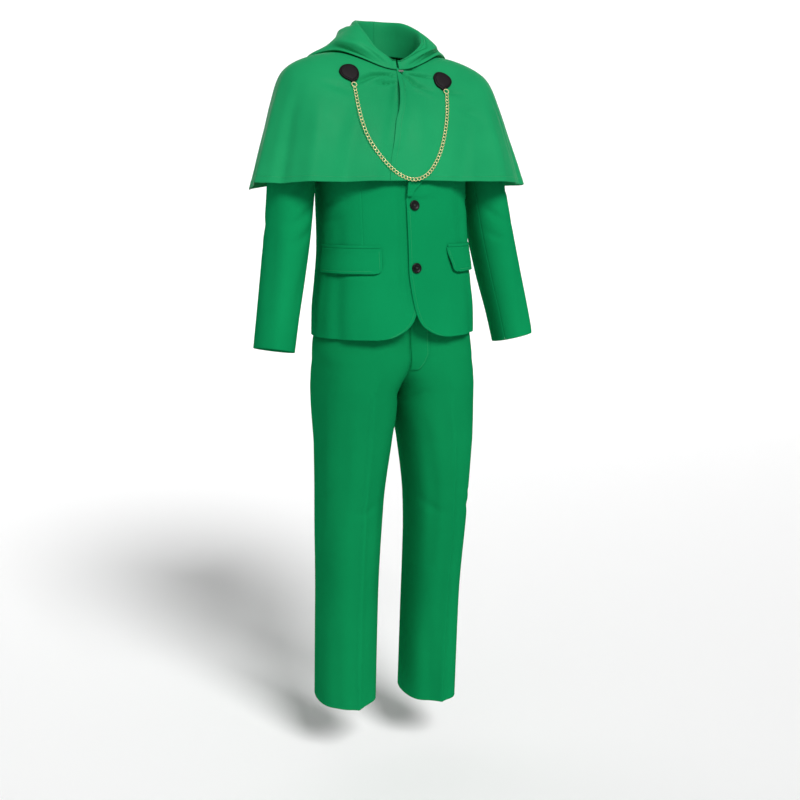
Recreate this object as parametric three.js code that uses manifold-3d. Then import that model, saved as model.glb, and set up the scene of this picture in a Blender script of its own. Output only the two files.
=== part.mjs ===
// A suit with a short hooded cape, worn on a figure about 1.8 m tall that isn't shown.
// Millimetres. X is to the wearer's left, -Y is the front, +Z is up, z = 0 is the shoulder line.
import * as THREE from 'three';
import Module from 'manifold-3d';

const wasm = await Module();
wasm.setup();

// Driving sizes
const SUITING = 1.6; // wall of the jacket and the trousers
const SATIN = 1.2; // wall of the cape and the hood
const SEAM = 0.3; // air between two pieces that are sewn together
const LAID = 0.6; // air under a piece that lies on another
const CURVED = 0.9; // more air under what is laid over the curved chest
const TRIM = SEAM + 0.1; // how far one piece stays off another that cuts it

const BUTTON = { radius: 10.5, thickness: 3.2, rim: 1.0, stand: 0.45 };
const buttonHeights = { button_upper: -267, button_lower: -391 };
const FLAP = { top: -351, height: 54, frontX: 75, width: 150, corner: 9, jet: 6, jetWall: 1.2, turn: 142 };
const DISC = { radius: 20, tip: 26, thickness: 5.5, tipSpread: 0.27 };
const JUMP_RING = { radius: 5.2, wire: 0.9, gap: 0.4 };
const CHAIN = { width: 6.6, waist: 4.2, thickness: 2.0, links: 38 };
const HOOK = { length: 11, width: 4, thickness: 1.4, x: 5, z: 1 };
const OVERLAP = { lift: SUITING + 0.6, lapelLift: SUITING + 3.9, clearX: 22, fadeX: 62 };
const FLY = { width: 36, fromCentre: 3, top: -478, bottom: -602, air: 1.0 };
const WAISTBAND = { top: -428, bottom: -466, wall: 2.2 };
const CREASE = { rise: 5, backShare: 0.8, spread: 0.17, top: -560, full: -700 };

// Jacket body: one row for each section, from the hem up to the neck
const jacketSections = [
  { z: -542, halfWidth: 176, halfDepth: 127, centreY: -4, square: 0.035 },
  { z: -480, halfWidth: 174, halfDepth: 124, centreY: -5, square: 0.035 },
  { z: -420, halfWidth: 167, halfDepth: 121, centreY: -4, square: 0.035 },
  { z: -350, halfWidth: 161, halfDepth: 119, centreY: 2, square: 0.035 },
  { z: -300, halfWidth: 160, halfDepth: 118, centreY: 10, square: 0.035 },
  { z: -245, halfWidth: 160, halfDepth: 117, centreY: 19, square: 0.035 },
  { z: -215, halfWidth: 162, halfDepth: 115, centreY: 22, square: 0.035 },
  { z: -190, halfWidth: 168, halfDepth: 113, centreY: 25, square: 0.035 },
  { z: -145, halfWidth: 178, halfDepth: 105, centreY: 31, square: 0.035 },
  { z: -100, halfWidth: 184, halfDepth: 93, centreY: 36, square: 0.03 },
  { z: -60, halfWidth: 188, halfDepth: 78, centreY: 40, square: 0.02 },
  { z: -30, halfWidth: 190, halfDepth: 66, centreY: 43, square: 0.01 },
  { z: -14, halfWidth: 181, halfDepth: 61, centreY: 44, square: 0 },
  { z: -2, halfWidth: 150, halfDepth: 58, centreY: 45, square: 0 },
  { z: 10, halfWidth: 108, halfDepth: 56, centreY: 46, square: 0 },
  { z: 23.6, halfWidth: 63, halfDepth: 53, centreY: 47, square: 0 },
];

// How far each front runs past the centre; below zero it stays on its own side
const frontEdge = [
  { z: -542, past: -78 },
  { z: -540.5, past: -60 },
  { z: -536, past: -45 },
  { z: -528, past: -32 },
  { z: -515, past: -20 },
  { z: -497, past: -8 },
  { z: -470, past: 4 },
  { z: -435, past: 11 },
  { z: -395, past: 16 },
  { z: -340, past: 17 },
  { z: -248, past: 17 },
  { z: -213, past: 12 },
  { z: -170, past: -3 },
  { z: -120, past: -26 },
  { z: -70, past: -45 },
  { z: -20, past: -58 },
  { z: 23.6, past: -60 },
];

const lapelWidths = [
  { z: -243, width: 3 },
  { z: -213, width: 16 },
  { z: -165, width: 42 },
  { z: -115, width: 70 },
  { z: -72, width: 86 },
  { z: -50, width: 62 },
];

const NECK_TOP = 23.2;
const collarEdge = [
  { angle: 52, z: -6 },
  { angle: 70, z: 3 },
  { angle: 90, z: 6 },
  { angle: 115, z: 0 },
  { angle: 145, z: -16 },
  { angle: 180, z: -22 },
];

// Sleeve: level sections, which tip square to the sleeve towards the cuff
const sleeveSections = [
  { z: -556, centreX: 275, centreY: -22, halfWidth: 41, halfDepth: 48, tip: 1 },
  { z: -490, centreX: 263, centreY: -13, halfWidth: 42, halfDepth: 50, tip: 0.9 },
  { z: -410, centreX: 247, centreY: 0, halfWidth: 44, halfDepth: 56, tip: 0.6 },
  { z: -330, centreX: 233, centreY: 10, halfWidth: 46, halfDepth: 58, tip: 0.3 },
  { z: -245, centreX: 221, centreY: 20, halfWidth: 47, halfDepth: 59, tip: 0 },
  { z: -195, centreX: 215, centreY: 27, halfWidth: 47.5, halfDepth: 58, tip: 0 },
  { z: -150, centreX: 210, centreY: 31, halfWidth: 47.5, halfDepth: 57, tip: 0 },
  { z: -95, centreX: 203, centreY: 37, halfWidth: 45, halfDepth: 53, tip: 0 },
  { z: -60, centreX: 197, centreY: 41, halfWidth: 41, halfDepth: 48, tip: 0 },
  { z: -35, centreX: 191, centreY: 43, halfWidth: 34, halfDepth: 40, tip: 0 },
  { z: -20, centreX: 184, centreY: 44, halfWidth: 27, halfDepth: 31, tip: 0 },
  { z: -11, centreX: 174, centreY: 44, halfWidth: 17, halfDepth: 19, tip: 0 },
  { z: -8, centreX: 165, centreY: 44, halfWidth: 7, halfDepth: 8, tip: 0 },
];
const SLEEVE_SLANT = { x: 0.19, y: 0.14 };
const SLEEVE_SEAMS = { front: -52, back: 222 };

// One trouser leg; above the crotch its section is cut off at the centre line
const legSections = [
  { z: -1366, centreX: 97, centreY: 50, halfWidth: 63, halfDepth: 82, square: 0.02 },
  { z: -1142, centreX: 98, centreY: 35, halfWidth: 63, halfDepth: 82, square: 0.02 },
  { z: -906, centreX: 100, centreY: 12, halfWidth: 68, halfDepth: 90, square: 0.02 },
  { z: -769, centreX: 96, centreY: 3, halfWidth: 78, halfDepth: 99, square: 0.02 },
  { z: -700, centreX: 91, centreY: -1, halfWidth: 85, halfDepth: 104, square: 0.025 },
  { z: -655, centreX: 88.5, centreY: -3, halfWidth: 87, halfDepth: 107, square: 0.03 },
  { z: -636, centreX: 85, centreY: -3, halfWidth: 89, halfDepth: 109, square: 0.035 },
  { z: -612, centreX: 76, centreY: -3, halfWidth: 97, halfDepth: 110, square: 0.035 },
  { z: -585, centreX: 66, centreY: -3, halfWidth: 105, halfDepth: 109, square: 0.035 },
  { z: -545, centreX: 60, centreY: -4, halfWidth: 114.6, halfDepth: 103, square: 0 },
  { z: -500, centreX: 55, centreY: -4, halfWidth: 104, halfDepth: 100, square: 0.01 },
  { z: -428, centreX: 50, centreY: -2, halfWidth: 96, halfDepth: 94, square: 0.01 },
];
const CROTCH = -636;

// How each leg stands: its extra half width, how far forward it goes and how much lower its hem hangs
const legStance = { left: { wider: -4, forward: 20, drop: 8 }, right: { wider: 3, forward: 0, drop: 0 } };
const STANCE_FADE = { from: -700, to: -1000 };

// The hips lean a little to the wearer's right
const hipSway = [
  { z: -770, x: 0 },
  { z: -640, x: -6 },
  { z: -440, x: -6 },
  { z: -345, x: -3 },
  { z: -250, x: 0 },
];

// Cape: rise 0 is the hem and 1 the neck; each row gives the front, side and back of one ring
const capeSections = [
  { rise: 0, sideX: 301, sideZ: -222, centreY: 24, frontY: -106, frontZ: -221, backY: 176, backZ: -229, square: 0.03 },
  { rise: 0.2, sideX: 275, sideZ: -136, centreY: 30, frontY: -98, frontZ: -165, backY: 166, backZ: -150, square: 0.035 },
  { rise: 0.4, sideX: 252, sideZ: -62, centreY: 36, frontY: -85, frontZ: -120, backY: 156, backZ: -85, square: 0.035 },
  { rise: 0.6, sideX: 227, sideZ: -4, centreY: 42, frontY: -67, frontZ: -80, backY: 144, backZ: -32, square: 0.03 },
  { rise: 0.75, sideX: 186, sideZ: 24, centreY: 45, frontY: -47, frontZ: -45, backY: 131, backZ: 8, square: 0.02 },
  { rise: 0.9, sideX: 114, sideZ: 40, centreY: 46, frontY: -28, frontZ: -10, backY: 119, backZ: 30, square: 0.01 },
  { rise: 1, sideX: 62.2, sideZ: 36.6, centreY: 47, frontY: -15.2, frontZ: 8, backY: 108, backZ: 46, square: 0 },
];

// The slit: the left front's edge, measured from the centre to the wearer's right
const slitEdge = [
  { rise: 0, x: -54 },
  { rise: 0.11, x: -51 },
  { rise: 0.3, x: -40 },
  { rise: 0.5, x: -29 },
  { rise: 0.6, x: -20 },
  { rise: 0.75, x: -10 },
  { rise: 1, x: -2 },
];
const SLIT = { underlap: 4.5, margin: 1.5, fade: 10, lift: SATIN + 0.6 };

// Largest folds of the cape, as ridges (or troughs below zero) that run from the hem up
const capeFolds = [
  { angle: -118, spread: 13, depth: 5, reach: 0.75 },
  { angle: -96, spread: 8, depth: -9, reach: 0.6 },
  { angle: -74, spread: 10, depth: 3, reach: 0.6 },
  { angle: -38, spread: 9, depth: 4, reach: 0.7 },
  { angle: 20, spread: 9, depth: 3, reach: 0.6 },
  { angle: 46, spread: 10, depth: 5, reach: 0.7 },
  { angle: 72, spread: 8, depth: -5, reach: 0.6 },
  { angle: 94, spread: 13, depth: 17, reach: 0.42 },
  { angle: 120, spread: 12, depth: 7, reach: 0.7 },
  { angle: 150, spread: 12, depth: -6, reach: 0.6 },
  { angle: 176, spread: 10, depth: 7, reach: 0.6 },
  { angle: -148, spread: 12, depth: -7, reach: 0.6 },
];

// Hood worn down: radii are from the neck's axis, foot is the rise on the cape where it rests
const HOOD_AXIS_Y = 47;
const hoodRight = [
  { angle: 8, rim: 59, rimZ: 28, upper: 61, upperZ: 26, belly: 63, bellyZ: 24, foot: 0.965, roll: 4 },
  { angle: 39, rim: 57, rimZ: 47, upper: 64, upperZ: 45, belly: 73, bellyZ: 38, foot: 0.965, roll: 5 },
  { angle: 68, rim: 59, rimZ: 80, upper: 78, upperZ: 71, belly: 97, bellyZ: 58, foot: 0.94, roll: 6 },
  { angle: 95, rim: 60, rimZ: 101, upper: 82, upperZ: 86, belly: 110, bellyZ: 64, foot: 0.895, roll: 7 },
  { angle: 130, rim: 63, rimZ: 112, upper: 89, upperZ: 97, belly: 125, bellyZ: 56, foot: 0.74, roll: 13 },
  { angle: 180, rim: 66, rimZ: 116, upper: 104, upperZ: 100, belly: 140, bellyZ: 18, foot: 0.4, roll: 20 },
];
const hoodLeft = [
  { angle: 8, rim: 60, rimZ: 26, upper: 62, upperZ: 24, belly: 65, bellyZ: 21, foot: 0.96, roll: 4 },
  { angle: 30, rim: 63, rimZ: 36, upper: 67, upperZ: 34, belly: 73, bellyZ: 29, foot: 0.965, roll: 5 },
  { angle: 61, rim: 76, rimZ: 66, upper: 86, upperZ: 61, belly: 99, bellyZ: 50, foot: 0.94, roll: 7 },
  { angle: 85, rim: 73, rimZ: 90, upper: 92, upperZ: 80, belly: 115, bellyZ: 58, foot: 0.895, roll: 10 },
  { angle: 130, rim: 63, rimZ: 112, upper: 89, upperZ: 97, belly: 125, bellyZ: 56, foot: 0.74, roll: 13 },
  { angle: 180, rim: 66, rimZ: 116, upper: 104, upperZ: 100, belly: 140, bellyZ: 18, foot: 0.4, roll: 20 },
];
const HOOD = { neckInset: 3.0, rimRoll: 3.5, tuck: 0.02, closer: 0.35, frontAngle: 8 };

const discPlaces = { disc_right: { x: -104, z: -5 }, disc_left: { x: 100, z: -11 } };

// The chain's route across the chest, from the wearer's right to the left
const chainRoute = [
  { x: -104, z: -37 },
  { x: -105, z: -70 },
  { x: -103, z: -98 },
  { x: -96, z: -128 },
  { x: -84, z: -155 },
  { x: -62, z: -183 },
  { x: -34, z: -206 },
  { x: -4, z: -216 },
  { x: 22, z: -208 },
  { x: 46, z: -183 },
  { x: 64, z: -150 },
  { x: 79, z: -110 },
  { x: 89, z: -78 },
  { x: 97, z: -44.2 },
];

// Colours and finishes
const finish = (color, roughness, metalness = 0) =>
  new THREE.MeshStandardMaterial({ color, roughness, metalness, side: THREE.FrontSide });
const capeSatin = () => finish(0x27a564, 0.42);
const jacketCloth = () => finish(0x188c52, 0.62);
const trouserCloth = () => finish(0x127a47, 0.66);
const blackLeather = () => finish(0x1c191b, 0.5);
const blackButton = () => finish(0x111111, 0.3);
const goldMetal = () => finish(0xcfa54e, 0.3, 1);
const steel = () => finish(0xc9c9c4, 0.35, 1);

const rad = THREE.MathUtils.degToRad;

// Smooth value of a table's column, without overshoot between its rows
function read(table, key, value, column) {
  const last = table.length - 1;
  const first = table[0];
  if (value <= first[key]) return first[column];
  if (value >= table[last][key]) return table[last][column];
  const slope = (i) => (table[i + 1][column] - table[i][column]) / (table[i + 1][key] - table[i][key]);
  const tangent = (i) => {
    if (i === 0) return slope(0);
    if (i === last) return slope(last - 1);
    const before = slope(i - 1);
    const after = slope(i);
    return before * after <= 0 ? 0 : (2 * before * after) / (before + after);
  };
  let i = 0;
  while (value > table[i + 1][key]) i += 1;
  const span = table[i + 1][key] - table[i][key];
  const s = (value - table[i][key]) / span;
  const rest = 1 - s;
  return (
    table[i][column] * rest * rest * (1 + 2 * s) +
    table[i + 1][column] * s * s * (3 - 2 * s) +
    tangent(i) * span * s * rest * rest -
    tangent(i + 1) * span * s * s * rest
  );
}

const smooth = (from, to, value) => THREE.MathUtils.smoothstep((value - from) / (to - from), 0, 1);
const mix = THREE.MathUtils.lerp;

// A ring whose corners are fuller than an ellipse's; angle 0 is the front, 90 degrees the left
function ringPoint(angle, halfWidth, halfDepth, square) {
  const across = (Math.sin(angle) + square * Math.sin(3 * angle)) / (1 - square);
  const along = (Math.cos(angle) - square * Math.cos(3 * angle)) / (1 - square);
  return { x: halfWidth * across, y: -halfDepth * along };
}

// The angle at which such a ring's front half reaches a share of its half width
function angleAt(share, square) {
  let angle = Math.asin(THREE.MathUtils.clamp(share, -1, 1));
  for (let step = 0; step < 12; step += 1) {
    const miss = ringPoint(angle, 1, 1, square).x - share;
    const rate = (Math.cos(angle) + 3 * square * Math.cos(3 * angle)) / (1 - square);
    if (Math.abs(rate) < 1e-4) break;
    angle -= miss / rate;
  }
  return THREE.MathUtils.clamp(angle, -Math.PI / 2, Math.PI / 2);
}

function normalOf(surface, u, v) {
  const step = 1e-3;
  const alongU = surface(u + step, v).sub(surface(u - step, v));
  const alongV = surface(u, v + step).sub(surface(u, v - step));
  return alongU.cross(alongV).normalize();
}

const movedOut = (surface, distance) => (u, v) =>
  surface(u, v).addScaledVector(normalOf(surface, u, v), distance);

function meshGeometry(points, triangles) {
  const geometry = new THREE.BufferGeometry();
  geometry.setAttribute('position', new THREE.Float32BufferAttribute(points.flatMap((p) => [p.x, p.y, p.z]), 3));
  geometry.setIndex(triangles);
  return geometry;
}

// A cloth wall: an outer grid of points on a surface, an inner grid under it, and a rim
function wall(surface, columns, rows, place, thickness, ring = false) {
  const width = ring ? columns : columns + 1;
  const outer = [];
  const inner = [];
  for (let row = 0; row <= rows; row += 1) {
    for (let column = 0; column < width; column += 1) {
      const [u, v] = place(column / columns, row / rows);
      const point = surface(u, v);
      outer.push(point);
      inner.push(point.clone().addScaledVector(normalOf(surface, u, v), -thickness));
    }
  }
  const out = (column, row) => row * width + (column % width);
  const into = (column, row) => outer.length + out(column, row);
  const triangles = [];
  const quad = (a, b, c, d) => triangles.push(a, b, c, a, c, d);
  for (let row = 0; row < rows; row += 1) {
    for (let column = 0; column < columns; column += 1) {
      quad(out(column, row), out(column + 1, row), out(column + 1, row + 1), out(column, row + 1));
      quad(into(column, row), into(column, row + 1), into(column + 1, row + 1), into(column + 1, row));
    }
  }
  for (let column = 0; column < columns; column += 1) {
    quad(out(column, 0), into(column, 0), into(column + 1, 0), out(column + 1, 0));
    quad(out(column, rows), out(column + 1, rows), into(column + 1, rows), into(column, rows));
  }
  for (let row = 0; row < rows && !ring; row += 1) {
    quad(out(0, row), out(0, row + 1), into(0, row + 1), into(0, row));
    quad(out(columns, row), into(columns, row), into(columns, row + 1), out(columns, row + 1));
  }
  return meshGeometry(outer.concat(inner), triangles);
}

function flipped(geometry) {
  const index = Array.from(geometry.index.array);
  for (let i = 0; i < index.length; i += 3) [index[i], index[i + 1]] = [index[i + 1], index[i]];
  geometry.setIndex(index);
  return geometry;
}

function swayed(geometry) {
  const place = geometry.attributes.position;
  for (let i = 0; i < place.count; i += 1) place.setX(i, place.getX(i) + read(hipSway, 'z', place.getZ(i), 'x'));
  return geometry;
}

// The same piece for the other side of the body
const otherSide = (geometry) => flipped(geometry.clone().scale(-1, 1, 1));

function toSolid(geometry) {
  const vertProperties = new Float32Array(geometry.attributes.position.array);
  const triVerts = new Uint32Array(geometry.index.array);
  return new wasm.Manifold(new wasm.Mesh({ numProp: 3, vertProperties, triVerts }));
}

function toGeometry(solid) {
  const result = solid.getMesh();
  const geometry = new THREE.BufferGeometry();
  geometry.setAttribute('position', new THREE.Float32BufferAttribute(result.vertProperties, 3));
  geometry.setIndex(Array.from(result.triVerts));
  return geometry;
}

const trimmed = (geometry, cutter) => toGeometry(toSolid(geometry).subtract(cutter));

// A closed solid inside a tube of level sections, used to trim what crosses it
function filledTube(surface, columns, levels) {
  const points = [];
  const triangles = [];
  levels.forEach((level) => {
    for (let column = 0; column < columns; column += 1) {
      points.push(surface((column / columns) * 2 * Math.PI, level));
    }
  });
  const at = (column, row) => row * columns + (column % columns);
  for (let row = 0; row < levels.length - 1; row += 1) {
    for (let column = 0; column < columns; column += 1) {
      triangles.push(at(column, row), at(column + 1, row), at(column + 1, row + 1));
      triangles.push(at(column, row), at(column + 1, row + 1), at(column, row + 1));
    }
  }
  const last = levels.length - 1;
  for (let column = 1; column < columns - 1; column += 1) {
    triangles.push(at(0, 0), at(column + 1, 0), at(column, 0));
    triangles.push(at(0, last), at(column, last), at(column + 1, last));
  }
  return toSolid(meshGeometry(points, triangles));
}

const between = (list) => (fraction) => {
  const place = fraction * (list.length - 1);
  const index = Math.min(Math.floor(place), list.length - 2);
  return mix(list[index], list[index + 1], place - index);
};

// Jacket body
function jacketBody(angle, z) {
  const row = (column) => read(jacketSections, 'z', z, column);
  const point = ringPoint(angle, row('halfWidth'), row('halfDepth'), row('square'));
  return new THREE.Vector3(point.x, row('centreY') + point.y, z);
}

// The left front rides over the right one, and higher where the right lapel lies under it
function jacketLeftFront(angle, z) {
  const point = jacketBody(angle, z);
  const rise = mix(OVERLAP.lift, OVERLAP.lapelLift, smooth(-256, -245, z));
  const lift = rise * (1 - smooth(OVERLAP.clearX, OVERLAP.fadeX, point.x));
  return point.addScaledVector(normalOf(jacketBody, angle, z), lift);
}

const jacketAngle = (x, z) => {
  const share = x / read(jacketSections, 'z', z, 'halfWidth');
  return angleAt(share, read(jacketSections, 'z', z, 'square'));
};

const SIDE_SEAM = rad(98);
const seamAngle = (radius) => (SEAM * 0.6) / radius;
const BODY_RADIUS = 150;
const SLEEVE_RADIUS = 50;
const THIGH_RADIUS = 90;
const HOOD_RADIUS = 80;

const frontLevels = [-542, -540.5, -537, -530, -518, -500, -475, -440, -405, -375, -345, -300, -256, -245,
  -230, -213, -185, -160, -130, -100, -60, -30, -14, -2, 10, 23.6];
const backLevels = [-542, -500, -440, -405, -345, -300, -247, -213, -185, -160, -130, -100, -60, -30, -14,
  -2, 10, 23.6];

function jacketFront(surface) {
  const levelAt = between(frontLevels);
  const place = (across, up) => {
    const z = levelAt(up);
    const start = jacketAngle(-read(frontEdge, 'z', z, 'past'), z);
    return [mix(start, SIDE_SEAM - seamAngle(BODY_RADIUS), across), z];
  };
  return wall(surface, 11, frontLevels.length - 1, place, SUITING);
}

function jacketBack() {
  const levelAt = between(backLevels);
  const gap = seamAngle(BODY_RADIUS);
  const place = (across, up) => [mix(SIDE_SEAM + gap, Math.PI - gap, across), levelAt(up)];
  return wall(jacketBody, 8, backLevels.length - 1, place, SUITING);
}

function lapel(surface) {
  const rows = lapelWidths.map((row) => row.z);
  const levelAt = between([rows[0], -230, rows[1], -190, rows[2], -140, rows[3], -92, rows[4], rows[5]]);
  const laid = movedOut(surface, SUITING + LAID + CURVED);
  const place = (across, up) => {
    const z = levelAt(up);
    const rollX = -read(frontEdge, 'z', z, 'past') + 0.4;
    return [jacketAngle(rollX + across * read(lapelWidths, 'z', z, 'width'), z), z];
  };
  return wall(laid, 4, 9, place, SUITING);
}

function jacketCollar() {
  const laid = movedOut(jacketBody, SUITING + LAID + CURVED);
  const place = (around, up) => {
    const angle = mix(rad(-308), rad(-52), around);
    const fromFront = Math.abs(THREE.MathUtils.radToDeg(angle + Math.PI));
    const low = read(collarEdge, 'angle', 180 - fromFront, 'z');
    return [angle, mix(low, NECK_TOP, up)];
  };
  return wall(laid, 20, 3, place, SUITING);
}

// A pocket flap from the jacket's own points, with a rounded lower front corner
function pocketFlap() {
  const laid = movedOut(jacketLeftFront, SUITING + LAID);
  const place = (across, up) => {
    const z = mix(FLAP.top - FLAP.height, FLAP.top, up);
    const low = FLAP.top - FLAP.height + FLAP.corner - z;
    const tuck = low > 0 ? FLAP.corner - Math.sqrt(Math.max(FLAP.corner ** 2 - low ** 2, 0)) : 0;
    const front = jacketAngle(FLAP.frontX + tuck, z);
    return [front + (across * (FLAP.width - tuck)) / FLAP.turn, z];
  };
  const rows = between([0, 0.03, 0.08, 0.18, 0.5, 1]);
  return wall(laid, 9, 5, (across, up) => place(across, rows(up)), SUITING);
}

function pocketJet() {
  const laid = movedOut(jacketLeftFront, SUITING + LAID);
  const bottom = FLAP.top + SEAM;
  const place = (across, up) => {
    const z = mix(bottom, bottom + FLAP.jet, up);
    return [jacketAngle(FLAP.frontX, z) + (across * FLAP.width) / FLAP.turn, z];
  };
  return wall(laid, 8, 1, place, FLAP.jetWall);
}

// Sleeves
function sleeveTube(grow) {
  return (angle, z) => {
    const row = (column) => read(sleeveSections, 'z', z, column);
    const point = ringPoint(angle, row('halfWidth') + grow, row('halfDepth') + grow, 0.01);
    const tilt = row('tip') * (SLEEVE_SLANT.x * point.x - SLEEVE_SLANT.y * point.y);
    return new THREE.Vector3(row('centreX') + point.x, row('centreY') + point.y, z + tilt);
  };
}

const sleeveLevels = [-556, -490, -410, -330, -260, -215, -165, -120, -85, -55, -36, -23, -14, -8];

function sleevePiece(from, to, columns) {
  const gap = SEAM / 2 / SLEEVE_RADIUS;
  const levelAt = between(sleeveLevels);
  const place = (around, up) => [mix(rad(from) + gap, rad(to) - gap, around), levelAt(up)];
  return wall(sleeveTube(0), columns, sleeveLevels.length - 1, place, SUITING);
}

const bodyEnvelope = filledTube(movedOut(jacketBody, TRIM), 72, backLevels);
const sleeveEnvelope = filledTube(sleeveTube(TRIM), 40, sleeveLevels);

// Trouser legs
function legCrease(angle, z) {
  const fade = 1 - smooth(CREASE.full, CREASE.top, z);
  const turn = Math.atan2(Math.sin(angle), Math.cos(angle));
  const behind = Math.atan2(Math.sin(angle - Math.PI), Math.cos(angle - Math.PI));
  const ridge = (offset) => Math.exp(-((offset / CREASE.spread) ** 2));
  return fade * CREASE.rise * (ridge(turn) + CREASE.backShare * ridge(behind));
}

function trouserLeg({ wider, forward }) {
  return (angle, z) => {
    const row = (column) => read(legSections, 'z', z, column);
    const stand = smooth(STANCE_FADE.from, STANCE_FADE.to, z);
    const point = ringPoint(angle, row('halfWidth') + wider * stand, row('halfDepth'), row('square'));
    const crease = legCrease(angle, z);
    return new THREE.Vector3(
      row('centreX') + wider * stand + point.x + crease * Math.sin(angle),
      row('centreY') - forward * stand + point.y - crease * Math.cos(angle),
      z,
    );
  };
}

function innerAngle(z) {
  const row = (column) => read(legSections, 'z', z, column);
  const share = (row('centreX') - SEAM / 2) / row('halfWidth');
  return share >= 1 ? -Math.PI / 2 : angleAt(-share, row('square'));
}

const legLevels = [-1366, -1142, -1020, -906, -830, -769, -710, -670, -650, -636, -622, -604, -575, -545,
  -500, -466 - SEAM];
const OUTSEAM = rad(92);

function trouserPanel(stance, back) {
  const gap = SEAM / 2 / THIGH_RADIUS;
  const levelAt = between([legLevels[0] - stance.drop, ...legLevels.slice(1)]);
  const place = (across, up) => {
    const z = levelAt(up);
    const inner = innerAngle(z) + (z < CROTCH ? gap : 0);
    const ends = back ? [OUTSEAM + gap, Math.PI - inner] : [inner, OUTSEAM - gap];
    return [mix(ends[0], ends[1], across), z];
  };
  return wall(trouserLeg(stance), 9, legLevels.length - 1, place, SUITING);
}

function waistPoint(angle, z) {
  const row = (column) => read(legSections, 'z', z, column);
  const point = ringPoint(angle, row('centreX') + row('halfWidth'), row('halfDepth') - 2, 0.03);
  return new THREE.Vector3(point.x, row('centreY') + point.y, z);
}

function waistband() {
  const place = (around, up) => [around * 2 * Math.PI, mix(WAISTBAND.bottom, WAISTBAND.top, up)];
  return wall(waistPoint, 32, 1, place, WAISTBAND.wall, true);
}

function fly() {
  const laid = movedOut(trouserLeg(legStance.left), SUITING + FLY.air);
  const levelAt = between([FLY.bottom, -590, -575, -560, -545, -522, -500, FLY.top]);
  const place = (across, up) => {
    const z = levelAt(up);
    const row = (column) => read(legSections, 'z', z, column);
    const width = FLY.width * Math.sqrt(Math.min(1, 0.12 + 3.2 * up));
    const share = (FLY.fromCentre + across * width - row('centreX')) / row('halfWidth');
    return [angleAt(share, row('square')), z];
  };
  return wall(laid, 4, 7, place, SUITING);
}

// Cape
function capeWave(angle, rise) {
  let wave = 0;
  for (const fold of capeFolds) {
    const apart = Math.atan2(Math.sin(angle - rad(fold.angle)), Math.cos(angle - rad(fold.angle)));
    const fade = (1 - smooth(0, fold.reach, rise)) ** 1.3;
    wave += fold.depth * fade * Math.exp(-((apart / rad(fold.spread)) ** 2));
  }
  return wave;
}

function capeCloth(angle, rise) {
  const row = (column) => read(capeSections, 'rise', rise, column);
  const front = Math.cos(angle) > 0;
  const end = front ? { y: row('frontY'), z: row('frontZ') } : { y: row('backY'), z: row('backZ') };
  const depth = Math.abs(end.y - row('centreY'));
  const point = ringPoint(angle, row('sideX'), depth, row('square'));
  const facing = Math.cos(angle) ** 2;
  const wave = capeWave(angle, rise);
  const z = mix(row('sideZ'), end.z, facing);
  return new THREE.Vector3(
    point.x + wave * Math.sin(angle),
    row('centreY') + point.y - wave * Math.cos(angle),
    z,
  );
}

const slitAngle = (rise) => {
  const share = read(slitEdge, 'rise', rise, 'x') / read(capeSections, 'rise', rise, 'sideX');
  return angleAt(share, read(capeSections, 'rise', rise, 'square'));
};

function capeLeftCloth(angle, rise) {
  const under = slitAngle(rise) + rad(SLIT.underlap + SLIT.margin);
  const lift = SLIT.lift * (1 - smooth(under, under + rad(SLIT.fade), angle));
  return capeCloth(angle, rise).addScaledVector(normalOf(capeCloth, angle, rise), lift);
}

const capeRises = [0, 0.1, 0.2, 0.32, 0.44, 0.54, 0.62, 0.7, 0.78, 0.88, 1];

function capeHalf(left) {
  const riseAt = between(capeRises);
  const gap = SEAM / 2 / BODY_RADIUS;
  const place = (around, up) => {
    const rise = riseAt(up);
    const slit = slitAngle(rise);
    const ends = left ? [slit, Math.PI - gap] : [gap - Math.PI, slit + rad(SLIT.underlap)];
    return [mix(ends[0], ends[1], around), rise];
  };
  return wall(left ? capeLeftCloth : capeCloth, 27, capeRises.length - 1, place, SATIN);
}

// Hood: for each direction a curve from the fold that rests on the cape, over the rim, to the neck
function hoodCloth(table, side) {
  return (angle, along) => {
    const degrees = Math.min(THREE.MathUtils.radToDeg(angle * side), 180);
    const row = (column) => read(table, 'angle', degrees, column);
    const at = (radius, z) =>
      new THREE.Vector3(radius * Math.sin(angle), HOOD_AXIS_Y - radius * Math.cos(angle), z);
    const over = movedOut(capeCloth, 1);
    const onCape = (rise, height) => {
      const base = capeCloth(angle, rise);
      return base.addScaledVector(over(angle, rise).sub(base), height);
    };
    const foot = row('foot');
    const roll = row('roll');
    const neck = onCape(1, 0);
    const neckRadius = Math.hypot(neck.x, neck.y - HOOD_AXIS_Y) - HOOD.neckInset;
    const clear = SLIT.lift + LAID - HOOD.closer;
    const points = [
      onCape(foot + HOOD.tuck, clear),
      onCape(foot, clear),
      onCape(foot - HOOD.tuck * 0.7, clear + roll * 0.45),
      onCape(foot, clear + roll),
      at(row('belly'), row('bellyZ')),
      at(row('upper'), row('upperZ')),
      at(row('rim') + HOOD.rimRoll, row('rimZ') - HOOD.rimRoll * 0.4),
      at(row('rim'), row('rimZ')),
      at(row('rim') - HOOD.rimRoll, row('rimZ') - HOOD.rimRoll),
      at(mix(row('rim') - HOOD.rimRoll, neckRadius, 0.5), mix(row('rimZ'), neck.z, 0.5)),
      at(neckRadius, neck.z - 1),
    ];
    return new THREE.CatmullRomCurve3(points, false, 'centripetal').getPoint(THREE.MathUtils.clamp(along, 0, 1));
  };
}

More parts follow.
